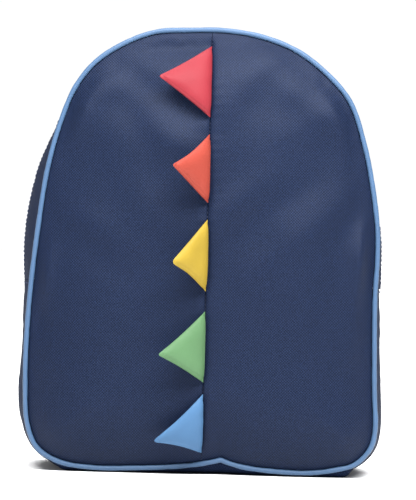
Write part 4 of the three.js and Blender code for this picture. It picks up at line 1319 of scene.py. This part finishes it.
def strap(side, name):
    line, _ = strap_pad(side, name)
    end = line[-1]
    centre = off_back(side, BUCKLE_PLACE, PAD_THICK)
    anchor = off_back(side, ANCHOR_PLACE, 0.0)
    along = unit(centre - end)
    across = unit(np.cross(along, BACKWARDS))
    out = np.cross(across, along)

    def local(a, n):
        return centre + along * a + out * n

    turn = BUCKLE_BAR * math.sqrt(0.5) + GAP + WEBBING / 2

    def arc(a, low, high):
        angles = np.linspace(low, high, 9)
        return [local(a + turn * math.sin(angle), turn * math.cos(angle)) for angle in angles]

    top_bar = -BUCKLE_LENGTH / 2 + BUCKLE_BAR / 2
    to_pad = -float(np.linalg.norm(centre - end)) + GAP
    loop = [local(to_pad, turn), *arc(top_bar, 0, math.pi), local(to_pad, -turn)]
    webbing_object("buckle_loop_" + name, loop, across, 5)
    tail = centre + along * TAIL_LENGTH
    tail[1] += 2 * turn
    tail[2] -= turn
    lower = [
        off_anchor(anchor, centre, -ANCHOR_LENGTH / 4),
        off_anchor(anchor, centre, 0),
        off_anchor(anchor, centre, ANCHOR_LENGTH / 3),
        local(BUCKLE_LENGTH, -turn * 1.3),
        local(BUCKLE_LENGTH / 2, -turn),
    ]
    upper = [local(BUCKLE_LENGTH / 2, turn), local(BUCKLE_LENGTH, turn * 1.2), tail]
    points = [*lower, *arc(0, math.pi, 2 * math.pi), *upper]
    webbing_object("strap_webbing_" + name, points, across, 8)
    strap_anchor(anchor, centre, name)
    low_end = off_anchor(anchor, centre, -ANCHOR_LENGTH / 4 + BOX_MARGIN)
    high_end = off_anchor(anchor, centre, ANCHOR_LENGTH / 3 - 1)
    half = WEBBING_WIDTH / 2 - BOX_MARGIN
    lift = np.array([0.0, WEBBING / 2 + THREAD_LIFT, 0.0])
    reach = across * half
    corners = [low_end - reach, low_end + reach, high_end + reach, high_end - reach]
    box_stitch("anchor_box_" + name, [c + lift for c in corners])


strap(-1, "left")
strap(1, "right")


# The grab handle

HANDLE_WAIST = 0.12  # how much narrower the handle is where it's held


def handle():
    steps = 120
    t = np.linspace(-1, 1, steps)
    rise = np.cos(np.pi / 2 * np.clip(np.abs(t) / 0.78, 0, 1)) ** 0.8
    level = float(back_depth(0.0, HANDLE_HEIGHT))
    x = t * HANDLE_LENGTH / 2
    y = level + SEAT + HANDLE_THICK / 2 + rise * HANDLE_BOW
    line = np.stack([x, y, np.full(steps, HANDLE_HEIGHT)], 1)
    along = unit(np.gradient(line, axis=0))
    out = unit(np.cross(UPWARDS, along))
    out = out * np.sign(out[:, 1:2])
    b = np.linspace(-0.5, 0.5, 15)
    grip = smoothstep(np.abs(t), 0.62, 0.35)[:, None]
    profile = HANDLE_THICK / 2 * (1 - (np.abs(b) * 2) ** 10 * 0.5)
    section_b = np.concatenate([b, b[::-1]])
    section_n = np.concatenate([profile, -profile[::-1]])
    width = HANDLE_WIDTH * (1 - HANDLE_WAIST * grip)
    rings = ribbon_rings(line, UPWARDS[None], out, section_b * width, section_n)
    run = distances(line)
    uv = np.stack(np.broadcast_arrays(run[:, None], section_b[None] * width), -1)
    obj = loft_object("grab_handle", rings, webbing_navy, uv, sharp=50)
    place_piece(obj, "webbing", "grab_handle")
    for name, sign in (("left", -1), ("right", 1)):
        low, high = 0.8 * HANDLE_LENGTH / 2 * sign, 0.97 * HANDLE_LENGTH / 2 * sign
        face = level + SEAT + HANDLE_THICK + THREAD_LIFT
        reach = HANDLE_WIDTH / 2 - BOX_MARGIN
        below, above = HANDLE_HEIGHT - reach, HANDLE_HEIGHT + reach
        corners = [(low, face, below), (high, face, below), (high, face, above), (low, face, above)]
        box_stitch("handle_box_" + name, corners)


handle()


# The moulded pieces that stay as CAD nodes get rounded edges and a material.

BUCKLE_ROUNDING = 0.0005

for node in ("strap_buckle_left", "strap_buckle_right"):
    obj = frame["nodes"][node]
    obj.data.materials.clear()
    obj.data.materials.append(plastic)
    rounded = obj.modifiers.new("rounded", "BEVEL")
    rounded.width = BUCKLE_ROUNDING
    rounded.segments = 3
    rounded.limit_method = "ANGLE"


# Studio: a pale floor, soft light from above and in front, and the photograph's view.

MM_PER_PIXEL = 0.7175
PICTURE_HEIGHT = 500
CAMERA_DISTANCE = 2.0
ROLL = math.radians(1.5)
AIM_X = 3.9
AIM_Z = 161.3
FLOOR_REACH = 60.0


def studio_floor():
    m = Maker("floor_white", 0.9, specular=0.0)
    grain = m.noise(m.place(), 3.0, 2.0)
    m.colour(m.blend(grain, (0.93, 0.93, 0.93), (0.95, 0.95, 0.95)))
    mesh = bpy.data.meshes.new("floor")
    r = FLOOR_REACH
    corners = [(-r, -r, 0), (r, -r, 0), (r, r, 0), (-r, r, 0)]
    mesh.from_pydata(corners, [], [(0, 1, 2, 3)])
    floor = bpy.data.objects.new("floor", mesh)
    floor.data.materials.append(m.material)
    bpy.context.scene.collection.objects.link(floor)


def area_light(name, place, aim, size, power):
    data = bpy.data.lights.new(name, "AREA")
    data.shape = "RECTANGLE"
    data.size, data.size_y = size
    data.energy = power
    lamp = bpy.data.objects.new(name, data)
    lamp.location = place
    lamp.rotation_mode = "QUATERNION"
    lamp.rotation_quaternion = (Vector(aim) - Vector(place)).to_track_quat("-Z", "Y")
    bpy.context.scene.collection.objects.link(lamp)


def ceiling_light(strength, spread, tilt):
    """A wide, even light from overhead, tilted a little towards the front."""
    data = bpy.data.lights.new("ceiling", "SUN")
    data.energy = strength
    data.angle = spread
    lamp = bpy.data.objects.new("ceiling", data)
    lamp.rotation_euler = (-tilt, 0, 0)
    bpy.context.scene.collection.objects.link(lamp)


def white_surround(level, overhead, front):
    """White walls at eye height that darken towards the ceiling and behind the camera."""
    world = bpy.data.worlds.new("studio")
    world.use_nodes = True
    nodes, links = world.node_tree.nodes, world.node_tree.links
    parts = nodes.new("ShaderNodeSeparateXYZ")
    links.new(nodes.new("ShaderNodeTexCoord").outputs["Generated"], parts.inputs[0])

    def fade(socket, start, end, low, high):
        node = nodes.new("ShaderNodeMapRange")
        node.interpolation_type = "SMOOTHSTEP"
        for key, value in zip(("From Min", "From Max", "To Min", "To Max"), (start, end, low, high)):
            node.inputs[key].default_value = value
        links.new(socket, node.inputs["Value"])
        return node.outputs["Result"]

    strength = nodes.new("ShaderNodeMath")
    strength.operation = "MULTIPLY"
    links.new(fade(parts.outputs[2], 0.12, 0.45, level, overhead), strength.inputs[0])
    links.new(fade(parts.outputs[1], -0.9, -0.1, front, 1.0), strength.inputs[1])
    background = nodes["Background"]
    background.inputs[0].default_value = (1, 1, 1, 1)
    links.new(strength.outputs[0], background.inputs[1])
    bpy.context.scene.world = world


def studio_light():
    white_surround(1.02, 0.45, 0.4)
    ceiling_light(4.2, math.radians(60), math.radians(3))
    area_light("softbox", (0.1, -0.6, 0.8), (0.03, 0, 0.26), (1.1, 0.34), 30)


def camera():
    data = bpy.data.cameras.new("camera")
    data.angle = 2 * math.atan(PICTURE_HEIGHT * MM_PER_PIXEL / 2000 / CAMERA_DISTANCE)
    cam = bpy.data.objects.new("camera", data)
    aim = Vector(to_row([AIM_X, 0.0, AIM_Z]))
    back = Vector((0, -1, 0))
    up = Vector((-math.sin(ROLL), 0, math.cos(ROLL)))
    right = (-back).cross(up).normalized()
    up = right.cross(-back)
    turn = Matrix((right, up, back)).transposed()
    cam.rotation_mode = "QUATERNION"
    cam.rotation_quaternion = turn.to_quaternion()
    cam.location = aim + back * CAMERA_DISTANCE
    bpy.context.scene.collection.objects.link(cam)
    bpy.context.scene.camera = cam


studio_floor()
studio_light()
camera()
bpy.context.scene.view_settings.view_transform = "Standard"
